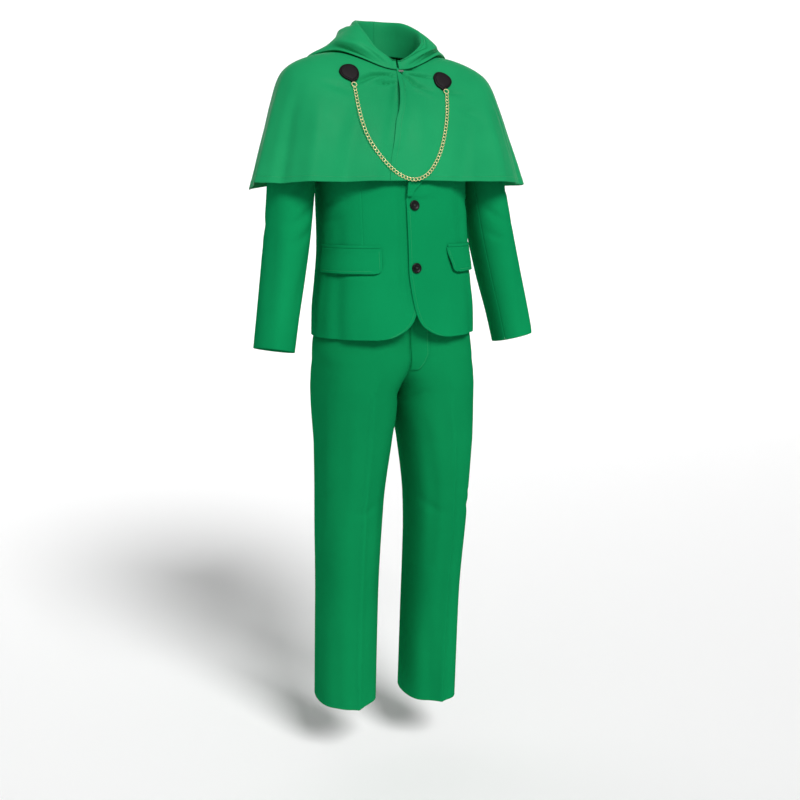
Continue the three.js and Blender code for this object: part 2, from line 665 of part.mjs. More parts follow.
function hoodHalf(table, side) {
  const gap = SEAM / 2 / HOOD_RADIUS;
  const surface = hoodCloth(table, side);
  const near = rad(HOOD.frontAngle) * side;
  const far = (Math.PI - gap) * side;
  const ends = side > 0 ? [near, far] : [far, near];
  const alongAt = between([0.002, 0.1, 0.2, 0.3, 0.4, 0.5, 0.6, 0.65, 0.7, 0.75, 0.8, 0.9, 0.998]);
  return wall(surface, 16, 12, (around, up) => [mix(ends[0], ends[1], around), alongAt(up)], SATIN);
}

// The place on a surface that has a given x and z
function findPlace(surface, x, z, u, v) {
  const step = 1e-4;
  for (let round = 0; round < 20; round += 1) {
    const here = surface(u, v);
    const alongU = surface(u + step, v).sub(here).divideScalar(step);
    const alongV = surface(u, v + step).sub(here).divideScalar(step);
    const det = alongU.x * alongV.z - alongU.z * alongV.x;
    const missX = x - here.x;
    const missZ = z - here.z;
    u += (missX * alongV.z - missZ * alongV.x) / det;
    v = THREE.MathUtils.clamp(v + (alongU.x * missZ - alongU.z * missX) / det, 0.005, 0.99);
  }
  return [u, v];
}

const onCape = (surface, x, z) => findPlace(surface, x, z, rad(x * 0.4), Math.max(0.65 + z / 350, 0.02));

// A domed pad that follows the cape under it and runs to a point at the bottom
function discPad(surface, centre) {
  const [u, v] = onCape(surface, centre.x, centre.z);
  const around = 24;
  const rings = [0.45, 0.85, 1];
  const normal = normalOf(surface, u, v);
  const down = new THREE.Vector3(0, 0, -1).addScaledVector(normal, normal.z).normalize();
  const across = normal.clone().cross(down);
  const middle = surface(u, v);
  const step = 1e-4;
  const alongU = surface(u + step, v).sub(middle).divideScalar(step);
  const alongV = surface(u, v + step).sub(middle).divideScalar(step);
  const place = (a, b) => {
    const move = across.clone().multiplyScalar(a).addScaledVector(down, b);
    const uu = alongU.dot(alongU);
    const uv = alongU.dot(alongV);
    const vv = alongV.dot(alongV);
    const mu = move.dot(alongU);
    const mv = move.dot(alongV);
    const det = uu * vv - uv * uv;
    return [u + (mu * vv - mv * uv) / det, v + (mv * uu - mu * uv) / det];
  };
  const point = (turn, share, height) => {
    const pointed = Math.exp(-((turn / DISC.tipSpread) ** 2)) * (DISC.tip - DISC.radius);
    const radius = (DISC.radius + pointed) * share;
    const [pu, pv] = place(radius * Math.sin(turn), radius * Math.cos(turn));
    return movedOut(surface, LAID + height)(pu, pv);
  };
  const points = [point(0, 0, DISC.thickness), point(0, 0, 0)];
  const triangles = [];
  const dome = (share) => DISC.thickness * (0.45 + 0.55 * Math.sqrt(Math.max(0, 1 - share ** 4)));
  const shares = rings.concat(rings);
  shares.forEach((share, index) => {
    const height = index < rings.length ? dome(share) : 0;
    for (let i = 0; i < around; i += 1) {
      const turn = (i / around) * 2 * Math.PI;
      points.push(point(Math.atan2(Math.sin(turn), Math.cos(turn)), share, height));
    }
  });
  const at = (ring, i) => 2 + ring * around + (i % around);
  const rim = rings.length - 1;
  const under = 2 * rings.length - 1;
  const quad = (a, b, c, d) => triangles.push(a, b, c, a, c, d);
  for (let i = 0; i < around; i += 1) {
    triangles.push(0, at(0, i), at(0, i + 1));
    triangles.push(1, at(rings.length, i + 1), at(rings.length, i));
    for (let ring = 0; ring < rim; ring += 1) {
      quad(at(ring, i), at(ring + 1, i), at(ring + 1, i + 1), at(ring, i + 1));
      quad(at(rings.length + ring, i), at(rings.length + ring, i + 1), at(rings.length + ring + 1, i + 1),
        at(rings.length + ring + 1, i));
    }
    quad(at(rim, i), at(under, i), at(under, i + 1), at(rim, i + 1));
  }
  return meshGeometry(points, triangles);
}

// What turns an object's own z axis to the normal of a surface, and carries it there
function setOn(mesh, surface, u, v, height) {
  const normal = normalOf(surface, u, v);
  mesh.quaternion.setFromUnitVectors(new THREE.Vector3(0, 0, 1), normal);
  mesh.position.copy(surface(u, v).addScaledVector(normal, height));
  return mesh;
}

// The chain as a flat band that narrows between its links
function chainBand() {
  const lift = SLIT.lift + LAID + CHAIN.thickness / 2;
  const places = chainRoute.map(({ x, z }) => {
    const [u, v] = onCape(capeCloth, x, z);
    return { point: movedOut(capeCloth, lift)(u, v), normal: normalOf(capeCloth, u, v) };
  });
  const route = new THREE.CatmullRomCurve3(places.map((place) => place.point), false, 'centripetal');
  const facing = new THREE.CatmullRomCurve3(places.map((place) => place.normal), false, 'centripetal');
  const stations = CHAIN.links * 2;
  const points = [];
  const triangles = [];
  for (let i = 0; i <= stations; i += 1) {
    const t = route.getUtoTmapping(i / stations);
    const centre = route.getPoint(t);
    const along = route.getTangent(t);
    const normal = facing.getPoint(t).normalize();
    const side = along.clone().cross(normal).normalize();
    const half = (i % 2 ? CHAIN.width : CHAIN.waist) / 2;
    for (const [a, b] of [[-1, -1], [-1, 1], [1, 1], [1, -1]]) {
      points.push(
        centre.clone().addScaledVector(side, a * half).addScaledVector(normal, (b * CHAIN.thickness) / 2),
      );
    }
  }
  const quad = (a, b, c, d) => triangles.push(a, b, c, a, c, d);
  for (let i = 0; i < stations; i += 1) {
    for (let k = 0; k < 4; k += 1) {
      const next = (k + 1) % 4;
      quad(i * 4 + k, i * 4 + next, i * 4 + 4 + next, i * 4 + 4 + k);
    }
  }
  const end = stations * 4;
  quad(0, 3, 2, 1);
  quad(end, end + 1, end + 2, end + 3);
  return { geometry: meshGeometry(points, triangles), places };
}

function buttonGeometry() {
  const { radius, thickness, rim } = BUTTON;
  const profile = [
    [0, 0],
    [radius * 0.8, 0],
    [radius * 0.96, thickness * 0.25],
    [radius, thickness * 0.6],
    [radius * 0.9, thickness],
    [radius * 0.72, thickness],
    [radius * 0.62, thickness - rim],
    [0, thickness - rim],
  ].map(([x, y]) => new THREE.Vector2(x, y));
  const geometry = new THREE.LatheGeometry(profile, 20);
  return geometry.rotateX(Math.PI / 2);
}

const group = new THREE.Group();

function add(name, geometry, material) {
  const mesh = new THREE.Mesh(geometry, material);
  mesh.name = name;
  group.add(mesh);
  return mesh;
}

// Jacket
const bothFronts = {
  jacket_front_left: trimmed(jacketFront(jacketLeftFront), sleeveEnvelope),
  jacket_front_right: otherSide(trimmed(jacketFront(jacketBody), sleeveEnvelope)),
};
for (const [name, geometry] of Object.entries(bothFronts)) add(name, swayed(geometry), jacketCloth());

const pairs = {
  jacket_back: [trimmed(jacketBack(), sleeveEnvelope), jacketCloth],
  sleeve_top: [trimmed(sleevePiece(SLEEVE_SEAMS.front, SLEEVE_SEAMS.back, 12), bodyEnvelope), jacketCloth],
  sleeve_under: [trimmed(sleevePiece(SLEEVE_SEAMS.back, SLEEVE_SEAMS.front + 360, 6), bodyEnvelope), jacketCloth],
  pocket_flap: [pocketFlap(), jacketCloth],
  pocket_jet: [pocketJet(), jacketCloth],
};
for (const [name, [geometry, material]] of Object.entries(pairs)) {
  const sway = name.startsWith('sleeve') ? (piece) => piece : swayed;
  add(`${name}_left`, sway(geometry.clone()), material());
  add(`${name}_right`, sway(otherSide(geometry)), material());
}
add('lapel_left', lapel(jacketLeftFront), jacketCloth());
add('lapel_right', otherSide(lapel(jacketBody)), jacketCloth());
add('jacket_collar', jacketCollar(), jacketCloth());
for (const [name, z] of Object.entries(buttonHeights)) {
  const button = setOn(add(name, buttonGeometry(), blackButton()), jacketLeftFront, 0, z, BUTTON.stand);
  button.position.x += read(hipSway, 'z', z, 'x');
}

// Trousers
for (const [side, turn] of [['left', (piece) => piece], ['right', otherSide]]) {
  const stance = legStance[side];
  add(`trouser_front_${side}`, swayed(turn(trouserPanel(stance, false))), trouserCloth());
  add(`trouser_back_${side}`, swayed(turn(trouserPanel(stance, true))), trouserCloth());
}
add('fly', swayed(fly()), trouserCloth());
add('waistband', swayed(waistband()), trouserCloth());

// Cape and hood
add('cape_left', capeHalf(true), capeSatin());
add('cape_right', capeHalf(false), capeSatin());
add('hood_left', hoodHalf(hoodLeft, 1), capeSatin());
add('hood_right', hoodHalf(hoodRight, -1), capeSatin());

// Ornaments
const chain = chainBand();
for (const [name, place] of Object.entries(discPlaces)) {
  const surface = place.x > 0 ? capeLeftCloth : capeCloth;
  add(name, discPad(surface, place), blackLeather());
}
const ringMaker = new THREE.TorusGeometry(JUMP_RING.radius, JUMP_RING.wire, 6, 16);
const chainEnds = { ring_right: chain.places[0], ring_left: chain.places[chain.places.length - 1] };
for (const [name, end] of Object.entries(chainEnds)) {
  const mesh = add(name, ringMaker.clone(), goldMetal());
  const reach = JUMP_RING.radius + JUMP_RING.wire + JUMP_RING.gap;
  mesh.quaternion.setFromUnitVectors(new THREE.Vector3(0, 0, 1), end.normal);
  const up = new THREE.Vector3(0, 0, 1).addScaledVector(end.normal, -end.normal.z).normalize();
  mesh.position.copy(end.point).addScaledVector(up, reach);
}
add('chain', chain.geometry, goldMetal());

const hook = new THREE.BoxGeometry(HOOK.length, HOOK.width, HOOK.thickness);
const hookPlace = onCape(capeLeftCloth, HOOK.x, HOOK.z);
setOn(add('neck_hook', hook, steel()), capeLeftCloth, hookPlace[0], hookPlace[1], LAID + HOOK.thickness / 2);

export default group;
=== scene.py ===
import math

import bpy
import numpy as np
from mathutils import Matrix, Vector


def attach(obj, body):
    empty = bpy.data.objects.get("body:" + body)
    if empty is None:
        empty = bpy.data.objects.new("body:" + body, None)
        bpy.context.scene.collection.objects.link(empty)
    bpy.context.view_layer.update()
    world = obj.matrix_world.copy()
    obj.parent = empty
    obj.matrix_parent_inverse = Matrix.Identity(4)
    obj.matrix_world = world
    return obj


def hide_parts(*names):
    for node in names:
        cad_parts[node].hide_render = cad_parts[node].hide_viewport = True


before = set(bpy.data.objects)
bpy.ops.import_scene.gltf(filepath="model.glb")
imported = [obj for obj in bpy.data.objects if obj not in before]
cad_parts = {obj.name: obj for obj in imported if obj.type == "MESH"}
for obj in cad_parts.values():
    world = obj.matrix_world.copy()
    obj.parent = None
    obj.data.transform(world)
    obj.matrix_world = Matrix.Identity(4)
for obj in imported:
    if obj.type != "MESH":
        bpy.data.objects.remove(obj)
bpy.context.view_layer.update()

# Millimetres unless said otherwise. -Y is the front, +X the wearer's left, and z = 0 the shoulder line
MM = 0.001
SUITING = 1.6
SATIN = 1.2
LAID = 0.6
LAPEL_LAID = 1.5
NECK_Y = 47
HOOD_FRONT = 8
PI = math.pi
rad = math.radians


class Table:
    """Rows of named columns, read smoothly and without overshoot by the first column"""

    def __init__(self, names, *rows, runs_on=False):
        self.names = names.split()
        self.runs_on = runs_on
        self.rows = np.array(rows, float)

    def read(self, value, name):
        key = self.rows[:, 0]
        column = self.rows[:, self.names.index(name)]
        asked = np.asarray(value, float)
        value = np.clip(asked, key[0], key[-1])
        slope = np.diff(column) / np.diff(key)
        before, after = slope[:-1], slope[1:]
        same = before * after > 0
        inner = np.where(same, 2 * before * after / np.where(same, before + after, 1), 0)
        tangent = np.concatenate([slope[:1], inner, slope[-1:]])
        i = np.clip(np.searchsorted(key, value, side="right") - 1, 0, len(key) - 2)
        span = key[i + 1] - key[i]
        s = (value - key[i]) / span
        rest = 1 - s
        beyond = (asked - value) * np.where(asked > value, slope[-1], slope[0]) if self.runs_on else 0
        return (
            beyond
            + column[i] * rest * rest * (1 + 2 * s)
            + column[i + 1] * s * s * (3 - 2 * s)
            + tangent[i] * span * s * rest * rest
            - tangent[i + 1] * span * s * s * rest
        )


# Shapes of the garment
JACKET = Table(
    "z half_width half_depth centre_y square",
    (-542, 176, 127, -4, 0.035), (-480, 174, 124, -5, 0.035), (-420, 167, 121, -4, 0.035),
    (-350, 161, 119, 2, 0.035), (-300, 160, 118, 10, 0.035), (-245, 160, 117, 19, 0.035),
    (-215, 162, 115, 22, 0.035), (-190, 168, 113, 25, 0.035), (-145, 178, 105, 31, 0.035),
    (-100, 184, 93, 36, 0.03), (-60, 188, 78, 40, 0.02), (-30, 190, 66, 43, 0.01), (-14, 181, 61, 44, 0),
    (-2, 150, 58, 45, 0), (10, 108, 56, 46, 0), (23.6, 63, 53, 47, 0),
)
FRONT_EDGE = Table(
    "z past",
    (-542, -82), (-540.5, -64), (-537, -49), (-531, -37), (-520, -24), (-508, -13), (-492, -3), (-468, 5),
    (-435, 11), (-395, 16), (-340, 17), (-248, 17), (-213, 12), (-170, -3), (-120, -26), (-70, -45),
    (-20, -58), (23.6, -60),
)
LAPEL = Table(
    "z width",
    (-249, 9), (-237, 17), (-223, 29), (-200, 40), (-165, 50), (-115, 70), (-72, 86), (-50, 62),
)
COLLAR = Table("angle z", (52, -6), (70, 3), (90, 6), (115, 0), (145, -16), (180, -22))
SLEEVE = Table(
    "z centre_x centre_y half_width half_depth tip",
    (-556, 275, -22, 41, 48, 1), (-490, 263, -13, 42, 50, 0.9), (-410, 247, 0, 44, 56, 0.6),
    (-330, 233, 10, 46, 58, 0.3), (-245, 221, 20, 47, 59, 0), (-195, 215, 27, 47.5, 58, 0),
    (-150, 210, 31, 47.5, 57, 0), (-95, 203, 37, 45, 53, 0), (-60, 197, 41, 41, 48, 0),
    (-35, 191, 43, 34, 40, 0), (-20, 184, 44, 27, 31, 0), (-11, 174, 44, 17, 19, 0),
    (-8, 165, 44, 7, 8, 0),
)
LEG = Table(
    "z centre_x centre_y half_width half_depth square",
    (-1366, 97, 50, 63, 82, 0.02), (-1142, 98, 35, 63, 82, 0.02), (-906, 100, 12, 68, 90, 0.02),
    (-769, 96, 3, 78, 99, 0.02), (-700, 91, -1, 85, 104, 0.025), (-655, 88.5, -3, 87, 107, 0.03),
    (-636, 85, -3, 89, 109, 0.035), (-612, 76, -3, 97, 110, 0.035), (-585, 66, -3, 105, 109, 0.035),
    (-545, 60, -4, 114.6, 103, 0), (-500, 55, -4, 104, 100, 0.01), (-428, 50, -2, 96, 94, 0.01),
)
SWAY = Table("z x", (-770, 0), (-640, -6), (-440, -6), (-345, -3), (-250, 0))
CAPE = Table(
    "rise side_x side_z centre_y front_y front_z back_y back_z square",
    (0, 301, -222, 24, -106, -221, 176, -229, 0.03), (0.2, 275, -136, 30, -98, -165, 166, -150, 0.035),
    (0.4, 252, -62, 36, -85, -120, 156, -85, 0.035), (0.6, 227, -4, 42, -67, -80, 144, -32, 0.03),
    (0.75, 186, 24, 45, -47, -45, 131, 8, 0.02), (0.9, 114, 40, 46, -28, -10, 119, 30, 0.01),
    (1, 62.2, 36.6, 47, -15.2, 8, 108, 46, 0),
    runs_on=True,
)
SLIT = Table(
    "rise x",
    (0, -54), (0.11, -51), (0.3, -40), (0.5, -29), (0.6, -20), (0.75, -10), (1, -2),
    runs_on=True,
)
CAPE_WAVES = Table(
    "angle spread depth reach",
    (-118, 13, 5, 0.75), (-96, 8, -9, 0.6), (-74, 10, 3, 0.6), (-38, 9, 4, 0.7), (20, 9, 3, 0.6),
    (46, 10, 5, 0.7), (72, 8, -5, 0.6), (94, 13, 17, 0.42), (120, 12, 7, 0.7), (150, 12, -6, 0.6),
    (176, 10, 7, 0.6), (-148, 12, -7, 0.6),
)
HOOD_COLUMNS = "angle rim rim_z upper upper_z belly belly_z foot roll"
HOOD_RIGHT = Table(
    HOOD_COLUMNS,
    (8, 58, 25, 60, 23, 62, 19, 0.985, 2), (39, 57, 47, 64, 45, 72, 37, 0.975, 4),
    (68, 59, 80, 78, 71, 97, 58, 0.94, 6), (95, 60, 101, 82, 86, 110, 64, 0.895, 7),
    (130, 63, 112, 89, 97, 125, 56, 0.74, 13), (180, 66, 116, 104, 100, 140, 18, 0.4, 20),
)
HOOD_LEFT = Table(
    HOOD_COLUMNS,
    (8, 59, 24, 61, 22, 63, 18, 0.985, 2), (30, 63, 36, 67, 34, 72, 29, 0.975, 4),
    (61, 76, 66, 86, 61, 99, 50, 0.94, 7), (85, 73, 90, 92, 80, 115, 58, 0.895, 10),
    (130, 63, 112, 89, 97, 125, 56, 0.74, 13), (180, 66, 116, 104, 100, 140, 18, 0.4, 20),
)
CHAIN_ROUTE = [
    (-104, -37), (-105, -70), (-103, -98), (-96, -128), (-84, -155), (-62, -183), (-34, -206), (-4, -216),
    (22, -208), (46, -183), (64, -150), (79, -110), (89, -78), (97, -44.2),
]
SIDE_SEAM = rad(98)
OUTSEAM = rad(92)
CROTCH = -636
SLEEVE_SEAMS = (-52, 222)


def smooth(start, end, value):
    share = np.clip((value - start) / (end - start), 0, 1)
    return share * share * (3 - 2 * share)


def mix(a, b, share):
    return a + (b - a) * share


def turned(angle):
    return np.arctan2(np.sin(angle), np.cos(angle))


def ring(angle, half_width, half_depth, square):
    across = (np.sin(angle) + square * np.sin(3 * angle)) / (1 - square)
    along = (np.cos(angle) - square * np.cos(3 * angle)) / (1 - square)
    return half_width * across, -half_depth * along


def angle_at(share, square):
    """The angle at which a ring's front half reaches a share of its half width"""
    share = np.clip(share, -1, 1)
    angle = np.arcsin(share)
    for _ in range(12):
        miss = ring(angle, 1, 1, square)[0] - share
        rate = (np.cos(angle) + 3 * square * np.cos(3 * angle)) / (1 - square)
        safe = np.abs(rate) > 1e-4
        angle = np.where(safe, angle - miss / np.where(safe, rate, 1), angle)
    return np.clip(angle, -PI / 2, PI / 2)


def normals(surface, u, v):
    step = 1e-3
    along_u = surface(u + step, v) - surface(u - step, v)
    along_v = surface(u, v + step) - surface(u, v - step)
    normal = np.cross(along_u, along_v)
    return normal / np.linalg.norm(normal, axis=-1, keepdims=True)


def moved_out(surface, distance):
    return lambda u, v: surface(u, v) + normals(surface, u, v) * distance


def grid_normals(points):
    normal = np.cross(np.gradient(points, axis=1), np.gradient(points, axis=0))
    return normal / np.linalg.norm(normal, axis=-1, keepdims=True)


def bell(distance, width):
    """A bell curve: 1 in the middle, 0.37 at one width from it"""
    return np.exp(-((distance / width) ** 2))


def relief(u, v, folds, per_radian, per_level):
    """Height of ridges, or troughs below zero: each fold is a line of (degrees, level, height, width)"""
    total = np.zeros(np.shape(u))
    for fold in folds:
        line = np.array(fold, float)
        middle = rad(line[:, 0].mean())
        x = turned(u - middle) * per_radian(v)
        y = v * per_level
        best = np.zeros(np.shape(u))
        for a, b in zip(line[:-1], line[1:]):
            start = np.array([(rad(a[0]) - middle) * per_radian(a[1]), a[1] * per_level])
            run = np.array([(rad(b[0]) - middle) * per_radian(b[1]), b[1] * per_level]) - start
            share = np.clip(((x - start[0]) * run[0] + (y - start[1]) * run[1]) / (run @ run), 0, 1)
            far = np.hypot(x - start[0] - share * run[0], y - start[1] - share * run[1])
            rise = mix(a[2], b[2], share) * bell(far, mix(a[3], b[3], share))
            best = np.where(np.abs(rise) > np.abs(best), rise, best)
        total += best
    return total


def jacket_body(angle, z):
    x, y = ring(angle, JACKET.read(z, "half_width"), JACKET.read(z, "half_depth"), JACKET.read(z, "square"))
    return np.stack([x, JACKET.read(z, "centre_y") + y, z + 0 * x], -1)


# The left front lies over the right one, and stands further off it where the right lapel is between them
LAPEL_ROOM = 3.3
LAPEL_BREAK = (-256, -245)
OVERLAP_FADE = (22, 62)


def jacket_left_front(angle, z):
    point = jacket_body(angle, z)
    rise = SUITING + LAID + LAPEL_ROOM * smooth(*LAPEL_BREAK, z)
    lift = rise * (1 - smooth(*OVERLAP_FADE, point[..., 0]))
    return point + normals(jacket_body, angle, z) * lift[..., None]


def jacket_angle(x, z):
    return angle_at(x / JACKET.read(z, "half_width"), JACKET.read(z, "square"))


def sleeve_tube(grow):
    def surface(angle, z):
        x, y = ring(angle, SLEEVE.read(z, "half_width") + grow, SLEEVE.read(z, "half_depth") + grow, 0.01)
        tilt = SLEEVE.read(z, "tip") * (0.19 * x - 0.14 * y)
        return np.stack([SLEEVE.read(z, "centre_x") + x, SLEEVE.read(z, "centre_y") + y, z + tilt], -1)

    return surface


def trouser_leg(wider, forward):
    def surface(angle, z):
        stand = smooth(-700, -1000, z)
        half_width = LEG.read(z, "half_width") + wider * stand
        x, y = ring(angle, half_width, LEG.read(z, "half_depth"), LEG.read(z, "square"))
        fade = 5 * (1 - smooth(-700, -560, z))
        crease = bell(turned(angle), 0.17) + 0.8 * bell(turned(angle - PI), 0.17)
        return np.stack(
            [
                LEG.read(z, "centre_x") + wider * stand + x + fade * crease * np.sin(angle),
                LEG.read(z, "centre_y") - forward * stand + y - fade * crease * np.cos(angle),
                z + 0 * x,
            ],
            -1,
        )

    return surface


def inner_angle(z):
    """Where a leg's cloth meets the other's at the middle, past it by what its rounded edge draws in"""
    share = LEG.read(z, "centre_x") / LEG.read(z, "half_width")
    share = share * (1 + SUITING / 2 / LEG.read(z, "half_width"))
    return np.where(share >= 1, -PI / 2, angle_at(-share, LEG.read(z, "square")))


def cape_cloth(angle, rise):
    def row(name):
        return CAPE.read(rise, name)

    front = np.cos(angle) > 0
    end_y = np.where(front, row("front_y"), row("back_y"))
    end_z = np.where(front, row("front_z"), row("back_z"))
    x, y = ring(angle, row("side_x"), np.abs(end_y - row("centre_y")), row("square"))
    wave = 0
    for middle, spread, depth, reach in CAPE_WAVES.rows:
        apart = turned(angle - rad(middle)) / rad(spread)
        wave = wave + depth * (1 - smooth(0, reach, rise)) ** 1.3 * bell(apart, 1)
    z = mix(row("side_z"), end_z, np.cos(angle) ** 2)
    return np.stack([x + wave * np.sin(angle), row("centre_y") + y - wave * np.cos(angle), z], -1)


def slit_angle(rise):
    return angle_at(SLIT.read(rise, "x") / CAPE.read(rise, "side_x"), CAPE.read(rise, "square"))


def cape_left_cloth(angle, rise):
    under = slit_angle(rise) + rad(6)
    lift = (SATIN + LAID) * (1 - smooth(under, under + rad(10), angle))
    return cape_cloth(angle, rise) + normals(cape_cloth, angle, rise) * lift[..., None]


def curve_through(points, along):
    """A centripetal Catmull-Rom curve: points is a list of arrays, along runs from 0 to 1"""
    points = np.stack(points)
    before = 2 * points[:1] - points[1:2]
    after = 2 * points[-1:] - points[-2:-1]
    points = np.concatenate([before, points, after])
    place = np.clip(along, 0, 1) * (len(points) - 3)
    index = np.minimum(np.floor(place).astype(int), len(points) - 4)
    weight = (place - index)[..., None]
    p = [np.take_along_axis(points, (index + k)[None, ..., None], 0)[0] for k in range(4)]
    d = [np.maximum(np.linalg.norm(p[k + 1] - p[k], axis=-1, keepdims=True), 1e-6) ** 0.5 for k in range(3)]
    t1 = ((p[1] - p[0]) / d[0] - (p[2] - p[0]) / (d[0] + d[1]) + (p[2] - p[1]) / d[1]) * d[1]
    t2 = ((p[2] - p[1]) / d[1] - (p[3] - p[1]) / (d[1] + d[2]) + (p[3] - p[2]) / d[2]) * d[1]
    c2 = -3 * p[1] + 3 * p[2] - 2 * t1 - t2
    c3 = 2 * p[1] - 2 * p[2] + t1 + t2
    return p[1] + t1 * weight + c2 * weight**2 + c3 * weight**3


def hood_cloth(table, side):
    def surface(angle, along):
        degrees = np.clip(np.degrees(angle * side), HOOD_FRONT, 180)

        def row(name):
            return table.read(degrees, name)

        def at(radius, z):
            return np.stack([radius * np.sin(angle), NECK_Y - radius * np.cos(angle), z + 0 * angle], -1)

        def on_cape(rise, height):
            return cape_cloth(angle, rise) + normals(cape_cloth, angle, rise) * np.asarray(height)[..., None]

        neck = cape_cloth(angle, 1 + 0 * angle)
        neck_radius = np.hypot(neck[..., 0], neck[..., 1] - NECK_Y) - 3
        clear = SATIN + 2 * LAID - 0.35
        foot, roll, rim, rim_z = row("foot"), row("roll"), row("rim"), row("rim_z")
        points = [
            on_cape(foot + 0.01, clear + 0 * foot),
            on_cape(foot, clear + 0 * foot),
            on_cape(foot - 0.014, clear + roll * 0.45),
            on_cape(foot, clear + roll),
            at(row("belly"), row("belly_z")),
            at(row("upper"), row("upper_z")),
            at(rim + 3.5, rim_z - 1.4),
            at(rim, rim_z),
            at(rim - 3.5, rim_z - 3.5),
            at(mix(rim - 3.5, neck_radius, 0.5), mix(rim_z, neck[..., 2], 0.5)),
            at(neck_radius, neck[..., 2] - 1),
        ]
        return curve_through(points, along)

    return surface


# Cloth walls with rounded edges
EDGE_PLACES = np.array([0, 0.2, 0.65, 1.5])
EDGE_DEPTHS = (0.5, 0.2, 0.05)


def spaced(start, end, count, thickness, extra=()):
    """Values from start to end, closer together at both ends, where the edge is rounded"""
    near = EDGE_PLACES * thickness
    run = np.linspace(start, end, count + 1)[1:-1]
    run = run[(run > start + near[-1] * 1.2) & (run < end - near[-1] * 1.2)]
    return np.unique(np.round(np.concatenate([start + near, run, end - near, np.array(extra, float)]), 5))


def wall(surface, u, v, thickness, height=None, closed=False):
    """Points, faces and flat places of a cloth wall on a surface, raised by the height of its folds"""
    outer = surface(u, v)
    if height is not None:
        outer = outer + grid_normals(outer) * height[..., None]
    normal = grid_normals(outer)
    if closed:
        normal[:, [0, -1]] = (normal[:, [0]] + normal[:, [-1]]) / 2
    depth = np.zeros(u.shape)
    for i, share in enumerate(EDGE_DEPTHS):
        for line in (depth[i], depth[-1 - i]):
            line[:] = np.maximum(line, share)
        if not closed:
            for line in (depth[:, i], depth[:, -1 - i]):
                line[:] = np.maximum(line, share)
    top = outer - normal * (depth * thickness)[..., None]
    under = outer - normal * ((1 - depth) * thickness)[..., None]
    count = u.size
    at = np.arange(count).reshape(u.shape)
    below = np.where(depth >= 0.5, at, at + count)
    if closed:
        at[:, -1] = at[:, 0]
        below[:, -1] = below[:, 0]
    across = np.cumsum(np.pad(np.linalg.norm(np.diff(outer, axis=1), axis=2), ((0, 0), (1, 0))), 1)
    across -= across[:, [u.shape[1] // 2]]
    up = np.cumsum(np.pad(np.linalg.norm(np.diff(outer, axis=0), axis=2), ((1, 0), (0, 0))), 0)
    flat = np.stack([across, up], -1)

    def cells(grid):
        corners = [grid[:-1, :-1], grid[:-1, 1:], grid[1:, 1:], grid[1:, :-1]]
        return np.stack(corners, 2).reshape((-1, 4) + grid.shape[2:])

    faces = np.concatenate([cells(at), cells(below)[:, ::-1]])
    places = np.concatenate([cells(flat), cells(flat)[:, ::-1]])
    return np.concatenate([top.reshape(-1, 3), under.reshape(-1, 3)]), faces, places


def in_scene(name, data):
    """A new object, linked to the scene"""
    piece = bpy.data.objects.new(name, data)
    bpy.context.scene.collection.objects.link(piece)
    return piece


def shown(name, points, faces, places, material, mirror=False, sway=False, sharp=50):
    """A mesh object with its place in its mesh, in metres"""
    points = np.array(points, float)
    if mirror:
        points[:, 0] *= -1
        faces = faces[:, ::-1]
        places = places[:, ::-1]
    if sway:
        points[:, 0] += SWAY.read(points[:, 2], "x")
    used, index = np.unique(faces, return_inverse=True)
    mesh = bpy.data.meshes.new(name)
    mesh.from_pydata((points[used] * MM).tolist(), [], index.reshape(faces.shape).tolist())
    if places is not None:
        mesh.uv_layers.new(name="cloth").data.foreach_set("uv", (places * MM).reshape(-1))
    mesh.materials.append(material)
    mesh.shade_smooth()
    mesh.set_sharp_from_angle(angle=rad(sharp))
    return in_scene(name, mesh)


def made_plain(piece):
    """Takes the result of the piece's modifiers as its own mesh"""
    evaluated = piece.evaluated_get(bpy.context.evaluated_depsgraph_get())
    mesh = bpy.data.meshes.new_from_object(evaluated)
    mesh.name = piece.name
    piece.modifiers.clear()
    old = piece.data
    piece.data = mesh
    bpy.data.meshes.remove(old)
    return piece


def trim(piece, cutter):
    modifier = piece.modifiers.new("armhole", "BOOLEAN")
    modifier.object = cutter
    modifier.operation = "DIFFERENCE"
    modifier.solver = "MANIFOLD"
    made_plain(piece)
    piece.data.set_sharp_from_angle(angle=rad(50))
    return piece


def filled_tube(name, surface, levels):
    """A closed solid in a tube, which trims what crosses it"""
    angles = np.linspace(0, 2 * PI, 121)[:-1]
    u, v = np.meshgrid(angles, levels)
    points = surface(u, v).reshape(-1, 3)
    rows, columns = u.shape
    at = np.arange(rows * columns).reshape(u.shape)
    following = np.roll(at, -1, 1)
    sides = np.stack([at[:-1], following[:-1], following[1:], at[1:]], 2).reshape(-1, 4).tolist()
    mesh = bpy.data.meshes.new(name)
    mesh.from_pydata((points * MM).tolist(), [], sides + [at[0, ::-1].tolist(), at[-1].tolist()])
    return in_scene(name, mesh)


# Materials
def new_material(name, **values):
    material = bpy.data.materials.new(name)
    material.use_nodes = True
    tree = material.node_tree
    tree.nodes.clear()
    shader = tree.nodes.new("ShaderNodeBsdfPrincipled")
    output = tree.nodes.new("ShaderNodeOutputMaterial")
    tree.links.new(shader.outputs[0], output.inputs[0])
    for socket, value in values.items():
        shader.inputs[socket.replace("_", " ")].default_value = value
    return material, tree, shader


def node(tree, kind, inputs=None, **settings):
    """A node with its settings, and its inputs given as values or as what they are linked to"""
    made = tree.nodes.new(kind)
    for name, value in settings.items():
        setattr(made, name, value)
    for socket, value in (inputs or {}).items():
        if isinstance(value, bpy.types.NodeSocket):
            tree.links.new(value, made.inputs[socket])
        else:
            made.inputs[socket].default_value = value
    return made


def result(tree, kind, inputs=None, **settings):
    """The first output of a new node"""
    return node(tree, kind, inputs, **settings).outputs[0]


